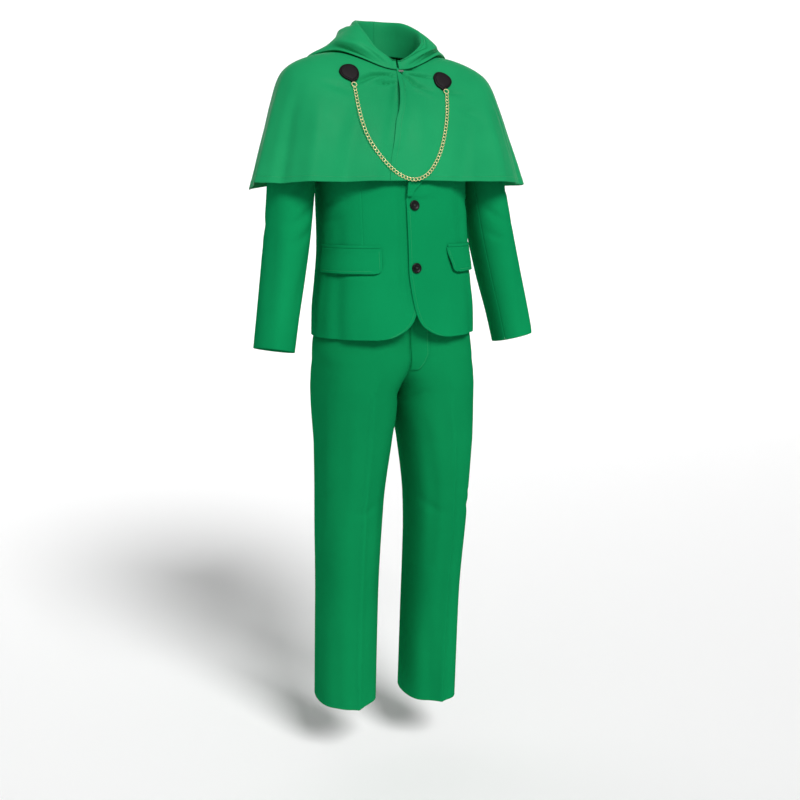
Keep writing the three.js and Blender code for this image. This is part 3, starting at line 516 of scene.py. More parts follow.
def mixed(tree, share, a, b, blend="MIX"):
    made = node(tree, "ShaderNodeMix", {0: share, 6: a, 7: b}, data_type="RGBA", blend_type=blend)
    return made.outputs[2]


def ranged(tree, value, low, high, new_low, new_high):
    inputs = {"Value": value, "From Min": low, "From Max": high, "To Min": new_low, "To Max": new_high}
    return result(tree, "ShaderNodeMapRange", inputs)


def noise(tree, place, scale, detail, roughness):
    inputs = {"Vector": place, "Scale": scale, "Detail": detail, "Roughness": roughness}
    return result(tree, "ShaderNodeTexNoise", inputs)


def maths(tree, operation, a, b):
    return result(tree, "ShaderNodeMath", {0: a, 1: b}, operation=operation)


def cloth_material(name, colour, shade, rough, threads, slant, depth, **values):
    """Woven cloth: threads per metre (along, across), the weave's slant, and its relief in metres"""
    material, tree, shader = new_material(name, **values)
    flat = result(tree, "ShaderNodeUVMap", uv_map="cloth")
    place = node(tree, "ShaderNodeTexCoord").outputs["Object"]
    slanted = result(tree, "ShaderNodeVectorRotate", {"Vector": flat, "Angle": slant}, rotation_type="Z_AXIS")
    scaled = result(tree, "ShaderNodeVectorMath", {0: slanted, 1: (*threads, 1)}, operation="MULTIPLY")
    weave = noise(tree, scaled, 1, 2, 0.6)
    broad = noise(tree, place, 5, 3, 0.5)
    fine = noise(tree, place, 60, 3, 0.55)
    tone = mixed(tree, ranged(tree, broad, 0.3, 0.7, 0, 1), colour, shade)
    yarn = ranged(tree, weave, 0.25, 0.75, 0.86, 1.12)
    yarn_colour = result(tree, "ShaderNodeCombineColor", {0: yarn, 1: yarn, 2: yarn})
    tree.links.new(mixed(tree, 1, tone, yarn_colour, "MULTIPLY"), shader.inputs["Base Color"])
    tree.links.new(ranged(tree, fine, 0.3, 0.7, rough - 0.04, rough + 0.05), shader.inputs["Roughness"])
    coarse = result(tree, "ShaderNodeBump", {"Strength": 0.25, "Distance": 0.0006, "Height": fine})
    relief_inputs = {"Strength": 0.5, "Distance": depth, "Height": weave, "Normal": coarse}
    tree.links.new(result(tree, "ShaderNodeBump", relief_inputs), shader.inputs["Normal"])
    return material


def speckled_material(name, colour, shade, scale, rough, bump, **values):
    """A hard or leathery finish: two tones of one colour, uneven gloss and a fine grain"""
    material, tree, shader = new_material(name, **values)
    place = node(tree, "ShaderNodeTexCoord").outputs["Object"]
    grain = noise(tree, place, scale, 4, 0.6)
    cells = node(tree, "ShaderNodeTexVoronoi", {"Vector": place, "Scale": scale * 1.7}).outputs["Distance"]
    tone = mixed(tree, ranged(tree, grain, 0.35, 0.65, 0, 1), colour, shade)
    tree.links.new(tone, shader.inputs["Base Color"])
    tree.links.new(ranged(tree, grain, 0.3, 0.7, rough - 0.06, rough + 0.08), shader.inputs["Roughness"])
    grained = result(tree, "ShaderNodeBump", {"Strength": 0.4, "Distance": bump, "Height": cells})
    tree.links.new(grained, shader.inputs["Normal"])
    return material


CAPE_SATIN = cloth_material(
    "cape_satin",
    (0.013, 0.315, 0.113, 1), (0.008, 0.255, 0.09, 1),
    0.5,
    (900, 5200),
    0,
    0.00006,
    Sheen_Weight=0.01,
    Sheen_Roughness=0.4,
    Sheen_Tint=(0.1, 1, 0.4, 1),
    Specular_IOR_Level=0.04,
)
def suiting(name, colour, shade, rough):
    return cloth_material(
        name,
        colour,
        shade,
        rough,
        (1200, 3200),
        rad(45),
        0.0001,
        Sheen_Weight=0.02,
        Sheen_Roughness=0.5,
        Sheen_Tint=(0.02, 0.6, 0.2, 1),
        Specular_IOR_Level=0.0,
    )


JACKET_CLOTH = suiting("jacket_cloth", (0.004, 0.25, 0.083, 1), (0.003, 0.22, 0.072, 1), 0.66)
TROUSER_CLOTH = suiting("trouser_cloth", (0.004, 0.225, 0.072, 1), (0.003, 0.195, 0.062, 1), 0.68)
THREAD = speckled_material("green_thread", (0.02, 0.36, 0.13, 1), (0.015, 0.3, 0.1, 1), 900, 0.5, 0.0001)
DARK_THREAD = speckled_material(
    "button_thread", (0.012, 0.02, 0.014, 1), (0.02, 0.03, 0.022, 1), 900, 0.6, 0.0001
)
LEATHER = speckled_material(
    "black_leather",
    (0.005, 0.003, 0.004, 1), (0.01, 0.006, 0.008, 1),
    420,
    0.6,
    0.0003,
    Specular_IOR_Level=0.16,
)
HORN = speckled_material(
    "black_button",
    (0.003, 0.0035, 0.003, 1), (0.008, 0.009, 0.008, 1),
    90,
    0.36,
    0.00004,
    Specular_IOR_Level=0.13,
)
GOLD = speckled_material(
    "gold_metal", (1.0, 0.88, 0.5, 1), (0.94, 0.78, 0.38, 1), 240, 0.28, 0.00008, Metallic=0.45
)
STEEL = speckled_material(
    "steel", (0.62, 0.62, 0.58, 1), (0.5, 0.5, 0.47, 1), 300, 0.3, 0.00006, Metallic=1.0
)


# Folds, listed one by one. Each is a line of (degrees, level, height, width), with the height and width in
# millimetres. The pieces for the wearer's right side are mirrored, so their degrees run outward too
JACKET_FOLDS = {
    "left": [
        [(38, -200, -1, 14), (42, -300, -2.4, 17), (40, -380, -1, 14)],
        [(50, -420, -1.5, 18), (52, -500, -3.2, 21), (54, -542, -3.6, 22)],
        [(22, -225, -0.4, 9), (45, -250, -1.6, 10), (70, -268, -1.2, 10), (95, -276, -0.4, 8)],
        [(24, -440, 0.6, 18), (22, -542, 2.4, 24)],
        [(75, -310, 0.6, 14), (78, -420, 1.6, 16), (80, -542, 2.4, 18)],
        [(-5, -262, 0.2, 6), (-6, -290, 1.2, 6), (-6, -360, 1.6, 6), (-6, -420, 1.4, 6), (-2, -476, 0.2, 6)],
        [
            (25, -352, -0.6, 3), (26, -372, -1.8, 3.4), (30, -398, -2, 3.6), (35, -403, -2, 3.6),
            (70, -403, -1.8, 3.6),
        ],
    ],
    "right": [
        [(60, -300, -0.8, 16), (59, -420, -2.8, 20), (57, -542, -4, 22)],
        [(30, -330, 0.6, 20), (28, -440, 2, 24), (26, -542, 3, 26)],
        [(34, -236, -0.4, 8), (52, -252, -1.8, 10), (74, -262, -1.3, 9)],
        [(48, -286, -0.3, 8), (66, -296, -1.3, 9), (88, -300, -0.6, 8)],
        [(12, -190, -0.4, 12), (26, -214, -1.4, 13), (40, -228, -0.4, 10)],
        [(80, -330, 0.6, 13), (82, -440, 1.8, 15), (84, -542, 2.6, 16)],
        [(7, -214, -1, 6), (8, -262, -3, 7), (8.5, -340, -3.4, 7), (8, -420, -3.2, 7), (4, -480, -1, 6)],
        [(24, -352, -0.8, 3), (24, -386, -2.2, 3.4), (29, -402, -2.2, 3.6), (74, -402, -1.8, 3.6)],
    ],
    "back": [
        [(112, -210, -0.6, 12), (135, -246, -2.4, 13), (160, -262, -1.2, 12), (176, -266, -0.3, 10)],
        [(120, -290, -0.6, 11), (145, -306, -1.8, 12), (170, -300, -0.6, 11)],
        [(118, -380, -1, 18), (116, -470, -2.6, 21), (114, -542, -3.4, 22)],
        [(148, -400, 0.6, 20), (150, -480, 2, 24), (152, -542, 2.8, 26)],
        [(150, -60, -0.6, 16), (140, -120, -1.8, 18), (126, -170, -0.6, 14)],
        [(168, -150, 0.4, 16), (164, -200, 1.2, 18), (158, -240, 0.4, 14)],
    ],
}
SLEEVE_FOLDS = {
    "left": [
        [(-6, -170, -0.6, 9), (22, -205, -2.4, 10), (50, -232, -1.8, 10), (70, -244, -0.4, 9)],
        [(-40, -268, -0.6, 9), (-12, -290, -2.4, 10), (24, -306, -1.6, 10), (52, -308, -0.4, 9)],
        [(-44, -322, -0.5, 9), (-18, -336, -1.8, 9), (14, -346, -0.5, 8)],
        [(30, -400, -0.6, 13), (22, -470, -2, 15), (16, -540, -2.4, 16)],
        [(66, -280, 0.5, 12), (60, -400, 1.6, 14), (56, -540, 1.2, 14)],
        [(104, -300, -0.5, 11), (128, -322, -2.2, 12), (160, -330, -1.6, 11), (196, -322, -0.4, 10)],
        [(120, -360, -0.4, 10), (150, -376, -1.6, 11), (186, -372, -0.4, 10)],
        [(140, -180, -0.6, 12), (158, -220, -1.8, 13), (186, -250, -0.6, 12)],
    ],
    "right": [
        [(-34, -180, -0.6, 9), (-10, -216, -2, 11), (16, -240, -1.2, 10), (36, -252, -0.3, 9)],
        [(-46, -262, -0.7, 9), (-22, -286, -2.6, 11), (8, -302, -1.5, 10), (34, -306, -0.4, 9)],
        [(-48, -312, -0.6, 8), (-24, -330, -2.2, 10), (4, -344, -1, 9)],
        [(-40, -372, -0.8, 12), (-34, -430, -2, 14), (-30, -500, -0.8, 12)],
        [(22, -330, 0.6, 14), (16, -430, 2, 17), (12, -556, 2.2, 18)],
        [(62, -250, -0.5, 14), (58, -360, -1.7, 16), (52, -480, -0.6, 14)],
        [(96, -296, -0.5, 11), (124, -316, -2.4, 12), (158, -326, -1.6, 11), (200, -318, -0.4, 10)],
        [(118, -350, -0.4, 10), (146, -366, -1.8, 11), (180, -368, -0.4, 10)],
        [(150, -190, -0.5, 12), (166, -228, -1.8, 13), (190, -256, -0.5, 12)],
    ],
}
LEG_FOLDS = {
    "left": [
        [(0, -560, 0.5, 4), (0, -700, 1.6, 4), (1, -1000, 1.8, 4), (0, -1374, 1.6, 4)],
        [(-78, -650, -2.2, 8), (-58, -622, -3, 10), (-30, -594, -1.8, 11), (-6, -574, -0.5, 10)],
        [(-74, -676, -1.2, 8), (-52, -664, -2, 10), (-28, -650, -0.6, 9)],
        [(-40, -720, -0.8, 16), (-34, -860, -2.6, 18), (-36, -1040, -1, 16)],
        [(46, -880, -0.3, 6), (60, -890, -1.4, 7), (82, -896, -0.6, 6)],
        [(30, -904, -0.3, 8), (54, -918, -1.6, 9), (84, -922, -0.4, 8)],
        [(-60, -892, -0.6, 10), (-36, -912, -1.8, 11), (-12, -920, -0.5, 10)],
        [(-34, -1150, -0.6, 18), (-30, -1260, -3.2, 22), (-26, -1374, -4, 24)],
        [(34, -1130, 0.4, 18), (32, -1260, 1.8, 20), (30, -1374, 2.6, 22)],
        [(132, -640, -0.5, 12), (156, -670, -2.4, 14), (186, -700, -1.8, 13), (210, -716, -0.5, 12)],
        [(140, -872, -0.5, 12), (172, -892, -2.6, 14), (206, -884, -0.8, 12)],
        [(150, -930, -0.4, 12), (182, -944, -1.8, 13), (214, -938, -0.4, 11)],
        [(216, -1100, -0.6, 16), (212, -1240, -2.4, 20), (208, -1374, -3, 21)],
    ],
    "right": [
        [(0, -560, 0.5, 4), (0, -700, 1.8, 4), (-1, -1000, 2, 4), (0, -1366, 1.8, 4)],
        [(-80, -648, -2.4, 8), (-60, -612, -3.2, 10), (-36, -574, -2.2, 12), (-14, -546, -0.5, 11)],
        [(-76, -672, -1, 8), (-54, -658, -1.8, 10), (-32, -640, -0.5, 9)],
        [(-48, -740, -0.6, 16), (-42, -900, -2.2, 18), (-44, -1100, -0.8, 16)],
        [(34, -600, -0.5, 16), (38, -760, -1.8, 18), (36, -920, -0.6, 16)],
        [(62, -640, 0.4, 12), (64, -800, 1.5, 14), (66, -960, 0.4, 12)],
        [(-30, -884, -0.4, 11), (-6, -902, -1.7, 12), (22, -906, -0.4, 11)],
        [(58, -862, -0.4, 8), (74, -876, -1.6, 9), (92, -880, -0.4, 8)],
        [(-36, -1140, -0.5, 18), (-34, -1260, -2.6, 22), (-30, -1366, -3.4, 24)],
        [(44, -1150, -0.5, 16), (42, -1260, -1.8, 18), (40, -1366, -2.4, 20)],
        [(134, -636, -0.5, 12), (160, -664, -2.6, 14), (190, -690, -1.6, 13), (212, -704, -0.4, 12)],
        [(138, -866, -0.5, 12), (170, -884, -2.4, 14), (204, -878, -0.8, 12)],
        [(146, -922, -0.4, 12), (180, -936, -1.6, 13), (210, -930, -0.4, 11)],
        [(214, -1120, -0.6, 16), (210, -1250, -2.2, 20), (206, -1366, -2.8, 21)],
    ],
}
CAPE_FOLDS = [
    [
        (-31, 0.752, -1.6, 5), (-28, 0.8, -3.4, 6), (-24, 0.868, -4, 6.5), (-17, 0.904, -3.4, 5),
        (-8, 0.925, -1.6, 4),
    ],
    [(-26, 0.79, 1.2, 6), (-19, 0.86, 2, 6), (-11, 0.885, 0.8, 5)],
    [(-18, 0.812, -0.8, 3), (-12, 0.826, -2.6, 3.6), (-5.5, 0.846, -1.4, 3)],
    [(-13, 0.9, -0.4, 2.4), (-8, 0.895, -1.6, 2.6), (-4.5, 0.9, -0.8, 2.4)],
    [(-46, 0.66, -1, 9), (-39, 0.678, -3, 10), (-32, 0.672, -1, 8)],
    [(4, 0.956, -1.2, 3), (8, 0.92, -3.6, 4.2), (11, 0.82, -3.8, 5), (19, 0.75, -1, 5)],
    [(8, 0.85, 1, 5), (12, 0.78, 2, 6), (18, 0.7, 0.6, 6)],
    [(10, 0.945, -1.2, 3), (20, 0.9, -2.8, 3.6), (27, 0.862, -2.4, 3.8), (32, 0.83, -0.6, 3.4)],
    [(28, 0.715, -1.6, 4), (31, 0.695, -3, 4.4), (36, 0.655, -0.8, 5)],
    [(12, 0.985, -0.8, 4), (24, 0.965, -1.8, 4.5), (34, 0.955, -0.6, 4)],
    [(28, 0.58, -0.8, 10), (33, 0.5, -3, 12), (39, 0.42, -1.2, 12)],
    [(-61, 0.58, -0.8, 16), (-61, 0.32, -3.6, 20), (-58, 0, -5, 22)],
    [(-45, 0.54, 0.8, 16), (-42, 0.24, 3.6, 20), (-41, 0, 5, 22)],
    [(-22, 0.66, -0.8, 12), (-25, 0.3, -3.8, 16), (-26, 0, -5, 18)],
    [(-12, 0.5, 0.6, 12), (-14, 0.2, 2.6, 14), (-15, 0, 3.2, 15)],
    [(7, 0.68, 0.8, 12), (4, 0.32, 2.8, 16), (3, 0, 3, 17)],
    [(28, 0.4, -0.8, 12), (21, 0.15, -3.8, 16), (18, 0, -4.2, 16)],
    [(46, 0.5, 0.8, 16), (42, 0.2, 3.4, 20), (40, 0, 4.4, 20)],
    [(60, 0.5, -0.6, 12), (63, 0.2, -3.4, 16), (64, 0, -4.2, 17)],
    [(80, 0.62, 0.8, 16), (82, 0.3, 3, 20), (83, 0, 3.6, 22)],
    [(104, 0.7, -0.8, 14), (107, 0.35, -3.4, 18), (109, 0, -5, 20)],
    [(128, 0.6, 0.8, 16), (131, 0.3, 3.4, 20), (134, 0, 5, 22)],
    [(158, 0.7, -0.8, 16), (160, 0.35, -3.6, 19), (162, 0, -5, 21)],
    [(-82, 0.62, 0.8, 14), (-80, 0.3, 2.8, 18), (-79, 0, 3.4, 20)],
    [(-104, 0.66, -0.8, 14), (-107, 0.33, -3.2, 18), (-110, 0, -4.6, 20)],
    [(-130, 0.6, 0.8, 16), (-134, 0.3, 3.4, 20), (-137, 0, 4.6, 22)],
    [(-160, 0.66, -0.8, 16), (-163, 0.32, -3.4, 19), (-165, 0, -4.6, 21)],
]
# The slit: its overlapping edge stands proud under the neck, and the edge below it sinks
SLIT_EDGE_FOLDS = [
    [(0, 0.88, 0.6, 6), (-1, 0.76, 3.4, 9), (-2, 0.66, 4, 10), (-4, 0.5, 1.8, 9), (-7, 0.25, 1, 8)],
    [(3.4, 0.95, -0.5, 0.9), (2.6, 0.84, -0.9, 0.9), (1.6, 0.72, -0.9, 0.9), (0.6, 0.6, -0.4, 0.9)],
]
SLIT_UNDER_FOLDS = [[(-3, 0.84, -1, 6), (-5, 0.7, -4.5, 8), (-7, 0.56, -2, 7), (-10, 0.3, -0.8, 6)]]
HOOD_FOLDS = {
    "left": [
        [
            (12, 0.5, -0.8, 1.6), (39, 0.5, -3, 1.9), (55, 0.46, -3.4, 2), (68, 0.54, -3.4, 1.9),
            (82, 0.57, -2, 1.8), (100, 0.58, -0.5, 1.6),
        ],
        [(16, 0.58, 0.6, 4), (50, 0.56, 1.4, 4.5), (72, 0.61, 1.6, 4.5), (92, 0.63, 0.5, 4)],
        [(24, 0.33, -0.8, 5), (48, 0.36, -2.2, 7), (72, 0.38, -1, 7)],
        [(60, 0.3, 0.6, 6), (84, 0.34, 2, 8), (108, 0.36, 0.8, 8)],
        [(118, 0.5, -0.8, 9), (140, 0.42, -2.6, 11), (162, 0.36, -1, 11)],
        [(150, 0.52, 0.6, 9), (170, 0.45, 2, 12), (180, 0.4, 1.2, 12)],
    ],
    "right": [
        [(-106, 0.49, 0.6, 5), (-122, 0.475, 4.5, 6), (-138, 0.46, 2.4, 7), (-156, 0.44, 0.6, 7)],
        [(-100, 0.565, -0.8, 5), (-116, 0.55, -4.6, 5.5), (-132, 0.54, -3, 6), (-150, 0.53, -0.8, 7)],
        [(-26, 0.34, -0.6, 6), (-48, 0.4, -2.4, 8), (-72, 0.43, -1.6, 9), (-92, 0.45, -0.4, 8)],
        [(-40, 0.3, 0.6, 6), (-64, 0.33, 1.8, 8), (-88, 0.36, 0.6, 8)],
        [(-14, 0.46, 0.4, 5), (-36, 0.5, 1.4, 7), (-58, 0.53, 0.4, 7)],
        [(-140, 0.36, -0.8, 10), (-160, 0.3, -2.6, 12), (-176, 0.26, -1, 11)],
    ],
}


JACKET_FOLD_DEPTH = 1.5
LEG_FOLD_DEPTH = 1.6


def declare(piece, node_name):
    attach(piece, "root")
    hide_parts(node_name)


# Jacket
def jacket_radius(z):
    return (JACKET.read(z, "half_width") + JACKET.read(z, "half_depth")) / 2


JACKET_LOW = -542
JACKET_TOP = 23.6
SLEEVE_LOW = -556
SLEEVE_TOP = -8
SLEEVE_RADIUS = 50
# Half of the gap at a seam, as an angle
HALF_SEAM = 0.0003
# Extra levels where a front's edge turns into the hem
LOW_FRONT = (-541.2, -540.4, -539.4, -538.2, -536.8, -535, -533, -531)
LOW_FRONT = LOW_FRONT + (-529, -526, -522, -518, -513, -508, -502, -496)
DART_SHARE = 0.42
DART_X = 106


def hemmed(z):
    """The hem hangs a little above its cut length"""
    return z + 9 * (1 - smooth(JACKET_LOW, -503, z))


def jacket_front(name, surface, folds, **options):
    z = spaced(JACKET_LOW, JACKET_TOP, 150, SUITING, LOW_FRONT)
    around = DART_SHARE + np.array([-1, -0.55, -0.3, -0.15, 0, 0.15, 0.3, 0.55, 1]) * 0.012
    across, z = np.meshgrid(spaced(0, 230, 64, SUITING) / 230, z)
    shares = np.unique(np.concatenate([across[0], around]))
    across, z = np.meshgrid(shares, z[:, 0])
    start = jacket_angle(-FRONT_EDGE.read(z, "past"), z)
    dart = jacket_angle(DART_X + 0 * z, z)
    end = SIDE_SEAM - HALF_SEAM
    u = np.where(
        across < DART_SHARE,
        mix(start, dart, across / DART_SHARE),
        mix(dart, end, (across - DART_SHARE) / (1 - DART_SHARE)),
    )

    dart_fade = smooth(-362, -340, z) * 0.55
    away = (u - dart) * jacket_radius(z)
    dart_line = -dart_fade * (bell(away, 0.9) - 0.5 * bell(away - 2.6, 2.2))
    height = dart_line + relief(u, z, folds, jacket_radius, 1) * JACKET_FOLD_DEPTH
    return shown(name, *wall(surface, u, hemmed(z), SUITING, height), JACKET_CLOTH, sway=True, **options)


def jacket_back(name, folds, **options):
    z = spaced(JACKET_LOW, JACKET_TOP, 140, SUITING)
    across, z = np.meshgrid(spaced(0, 180, 46, SUITING) / 180, z)
    u = mix(SIDE_SEAM + HALF_SEAM, PI - HALF_SEAM, across)
    height = relief(u, z, folds, jacket_radius, 1) * JACKET_FOLD_DEPTH
    return shown(name, *wall(jacket_body, u, hemmed(z), SUITING, height), JACKET_CLOTH, sway=True, **options)


def sleeve_piece(name, begin, end, columns, folds, **options):
    width = rad(end - begin) * SLEEVE_RADIUS
    z = spaced(SLEEVE_LOW, SLEEVE_TOP, 150, SUITING, np.arange(-60, -9, 2.5))
    across, z = np.meshgrid(spaced(0, width, columns, SUITING) / width, z)
    u = mix(rad(begin) + 0.001, rad(end) - 0.001, across)
    height = relief(u, z, folds, lambda level: SLEEVE_RADIUS + 0 * level, 1) * JACKET_FOLD_DEPTH
    return shown(name, *wall(sleeve_tube(0), u, z, SUITING, height), JACKET_CLOTH, **options)


# Solids of the body and an arm, half a millimetre larger, cut the armholes
body_levels = np.linspace(JACKET_LOW, JACKET_TOP, 90), np.linspace(-40, JACKET_TOP, 40)
body_levels = np.unique(np.concatenate(body_levels))
body_cutter = filled_tube("body_cutter", moved_out(jacket_body, 0.5), body_levels)
sleeve_levels = np.linspace(SLEEVE_LOW, -60, 70), np.linspace(-60, SLEEVE_TOP, 40)
sleeve_levels = np.unique(np.concatenate(sleeve_levels))
arm_cutter = filled_tube("arm_cutter", sleeve_tube(0.5), sleeve_levels)
other_arm_cutter = arm_cutter.copy()
other_arm_cutter.data = arm_cutter.data.copy()
other_arm_cutter.data.transform(Matrix.Scale(-1, 4, (1, 0, 0)))
other_arm_cutter.data.flip_normals()
bpy.context.scene.collection.objects.link(other_arm_cutter)
arm_cutters = {"left": arm_cutter, "right": other_arm_cutter}

for side, surface in (("left", jacket_left_front), ("right", jacket_body)):
    flip = side == "right"
    front = jacket_front(f"jacket_front_{side}_cloth", surface, JACKET_FOLDS[side], mirror=flip)
    back = jacket_back(f"jacket_back_{side}_cloth", JACKET_FOLDS["back"], mirror=flip)
    begin, end = SLEEVE_SEAMS
    top = sleeve_piece(f"sleeve_top_{side}_cloth", begin, end, 60, SLEEVE_FOLDS[side], mirror=flip)
    under = sleeve_piece(f"sleeve_under_{side}_cloth", end, begin + 360, 24, SLEEVE_FOLDS[side], mirror=flip)
    for piece in (front, back):
        trim(piece, arm_cutters[side])
    for piece in (top, under):
        trim(piece, body_cutter)
    declare(front, f"jacket_front_{side}")
    declare(back, f"jacket_back_{side}")
    declare(top, f"sleeve_top_{side}")
    declare(under, f"sleeve_under_{side}")
for cutter in (body_cutter, arm_cutter, other_arm_cutter):
    bpy.data.objects.remove(cutter)


def lapel(name, surface, **options):
    z = spaced(-249, -50, 60, SUITING)
    across, z = np.meshgrid(spaced(0, 60, 24, SUITING) / 60, z)
    x = -FRONT_EDGE.read(z, "past") + 0.4 + across * LAPEL.read(z, "width")
    laid = moved_out(surface, SUITING + LAPEL_LAID)
    roll = 1.6 * smooth(0.3, 0.95, across) + 2.2 * bell(across, 0.25) * smooth(-249, -230, z)
    return shown(name, *wall(laid, jacket_angle(x, z), z, SUITING, roll), JACKET_CLOTH, **options)


for side, surface in (("left", jacket_left_front), ("right", jacket_body)):
    turned_back = lapel(f"lapel_{side}_cloth", surface, mirror=side == "right")
    declare(turned_back, f"lapel_{side}")

# The collar runs round the back of the neck, from front to front, up to the body's top
around, up = np.meshgrid(spaced(0, 300, 90, SUITING) / 300, spaced(0, 45, 14, SUITING) / 45)
collar_angle = mix(rad(-308), rad(-52), around)
collar_low = COLLAR.read(180 - np.abs(np.degrees(collar_angle + PI)), "z")
collar_z = mix(collar_low, 23.2, up)
collar_wall = wall(moved_out(jacket_body, SUITING + LAPEL_LAID), collar_angle, collar_z, SUITING)
collar = shown("jacket_collar_cloth", *collar_wall, JACKET_CLOTH)
declare(collar, "jacket_collar")

FLAP = {"front": 72, "width": 152, "bottom": -401, "height": 50, "corner": 11}
# Widths on the flaps become angles as on a round body of this radius
FLAP_RADIUS = 142
FAR_FLAP_SLANT = 14


def flap_puff(z, across):
    """How far a flap stands off its front: most at its low edge and at its front edge"""
    low = 2.1 * smooth(-354, -392, z)
    return 0.5 + low + 0.8 * bell(across, 0.12) * smooth(-352, -380, z)


def pocket_flap(name, surface, slant, **options):
    """A flap with one round corner at the front; slant carries its front edge backwards as it goes down"""
    cut_height = 54
    up = spaced(0, cut_height, 26, SUITING, (1.5, 2, 3, 4, 5.5, 7))
    across = spaced(0, 150, 50, SUITING) / 150
    up, across = np.meshgrid(up, across, indexing="ij")
    z = FLAP["bottom"] + up * FLAP["height"] / cut_height
    corner = FLAP["corner"]
    low = np.clip(corner - up, 0, corner)
    tuck = corner - np.sqrt(corner**2 - low**2) + slant * smooth(cut_height, 0, up)
    u = jacket_angle(FLAP["front"] + tuck, z) + across * (FLAP["width"] - tuck) / FLAP_RADIUS
    laid = moved_out(surface, SUITING + LAID)
    return shown(name, *wall(laid, u, z, SUITING, flap_puff(z, across)), JACKET_CLOTH, sway=True, **options)


def pocket_jet(name, surface, **options):
    """The narrow strip that finishes the pocket's mouth, above the flap"""
    thin = 1.2
    z = spaced(-350.7, -344.7, 5, thin)
    across, z = np.meshgrid(spaced(0, 150, 40, thin) / 150, z)
    u = jacket_angle(75 + 0 * z, z) + across * 150 / FLAP_RADIUS
    jet_wall = wall(moved_out(surface, SUITING + LAID), u, z, thin)
    return shown(name, *jet_wall, JACKET_CLOTH, sway=True, **options)


for side in ("left", "right"):
    flip = side == "right"
    slant = 0 if flip else FAR_FLAP_SLANT
    flap = pocket_flap(f"pocket_flap_{side}_cloth", jacket_left_front, slant, mirror=flip)
    jet = pocket_jet(f"pocket_jet_{side}_cloth", jacket_left_front, mirror=flip)
    declare(flap, f"pocket_flap_{side}")
    declare(jet, f"pocket_jet_{side}")

# Trousers
STANCE = {"left": (-4, 20, 8), "right": (3, 0, 0)}


def leg_radius(z):
    return (LEG.read(z, "half_width") + LEG.read(z, "half_depth")) / 2


def trouser_panel(name, side, back, folds, **options):
    wider, forward, drop = STANCE[side]
    z = spaced(-1366 - drop, -466.3, 190, SUITING)
    across, z = np.meshgrid(spaced(0, 240, 54, SUITING) / 240, z)
    inner = inner_angle(z) + np.where(z < CROTCH, 0.0006, 0)
    start, end = (OUTSEAM + 0.0006, PI - inner) if back else (inner, OUTSEAM - 0.0006)
    u = mix(start, end, across)
    seam = np.maximum(smooth(0.03, 0.2, across if not back else 1 - across), smooth(-640, -670, z))
    height = relief(u, z, folds, leg_radius, 1) * LEG_FOLD_DEPTH * seam
    panel_wall = wall(trouser_leg(wider, forward), u, z, SUITING, height)
    return shown(name, *panel_wall, TROUSER_CLOTH, sway=True, **options)


for side in ("left", "right"):
    flip = side == "right"
    front = trouser_panel(f"trouser_front_{side}_cloth", side, False, LEG_FOLDS[side], mirror=flip)
    back = trouser_panel(f"trouser_back_{side}_cloth", side, True, LEG_FOLDS[side], mirror=flip)
    declare(front, f"trouser_front_{side}")
    declare(back, f"trouser_back_{side}")


def waist_point(angle, z):
    half_width = LEG.read(z, "centre_x") + LEG.read(z, "half_width")
    x, y = ring(angle, half_width, LEG.read(z, "half_depth") - 2, 0.03)
    return np.stack([x, LEG.read(z, "centre_y") + y, z + 0 * x], -1)


WAISTBAND = {"low": -466, "high": -428, "thickness": 2.2}
thick = WAISTBAND["thickness"]
u, z = np.meshgrid(np.linspace(0, 2 * PI, 121), spaced(WAISTBAND["low"], WAISTBAND["high"], 12, thick))
waist = shown("waistband_cloth", *wall(waist_point, u, z, thick, closed=True), TROUSER_CLOTH, sway=True)
declare(waist, "waistband")

FLY = {"low": -602, "high": -478, "from_middle": 3, "width": 36}


def fly_angle(up, inset, across=1):
    """Where the fly's cloth is at a height and a share of its width: its low end is round"""
    z = mix(FLY["low"], FLY["high"], up)
    x = FLY["from_middle"] + across * (FLY["width"] - inset) * np.sqrt(np.minimum(1, 0.12 + 3.2 * up))
    return angle_at((x - LEG.read(z, "centre_x")) / LEG.read(z, "half_width"), LEG.read(z, "square")), z


fly_laid = SUITING + LAID + 0.4
up, across = np.meshgrid(spaced(0, 1, 60, 0.013), spaced(0, 36, 18, SUITING) / 36, indexing="ij")
u, z = fly_angle(up, 0, across)
fly_wall = wall(moved_out(trouser_leg(*STANCE["left"][:2]), fly_laid), u, z, SUITING)
fly = shown("fly_cloth", *fly_wall, TROUSER_CLOTH, sway=True)
declare(fly, "fly")


# Cape and hood
def cape_radius(rise):
    return CAPE.read(rise, "side_x") * 0.8


CAPE_RUN = 320
CAPE_FOLD_DEPTH = 1.5
NECK_FOLD_DEPTH = 2.3


def cape_folds(angle, rise, more=()):
    depth = mix(CAPE_FOLD_DEPTH, NECK_FOLD_DEPTH, smooth(0.72, 0.82, rise))
    return relief(angle, rise, CAPE_FOLDS + list(more), cape_radius, CAPE_RUN) * depth


CAPE_HEM = 12
HEM_STEP = 0.35


def hem_step(up):
    """The cape's turned hem stands a little proud"""
    return HEM_STEP * (1 - smooth(CAPE_HEM - 0.8, CAPE_HEM + 0.8, up * CAPE_RUN))


# Where the hem hangs low, or high below zero: degrees, spread in degrees, and depth as a share of the rise
HEM_DROPS = ((-112, 20, 0.028), (96, 24, 0.01), (8, 42, -0.012))


def cape_place(u, up):
    """The level on the cape's surface, where the hem dips and lifts around"""
    drop = 0
    for middle, spread, depth in HEM_DROPS:
        drop = drop + depth * bell(turned(u - rad(middle)), rad(spread))
    return up - drop * (1 - smooth(0, 0.35, up))


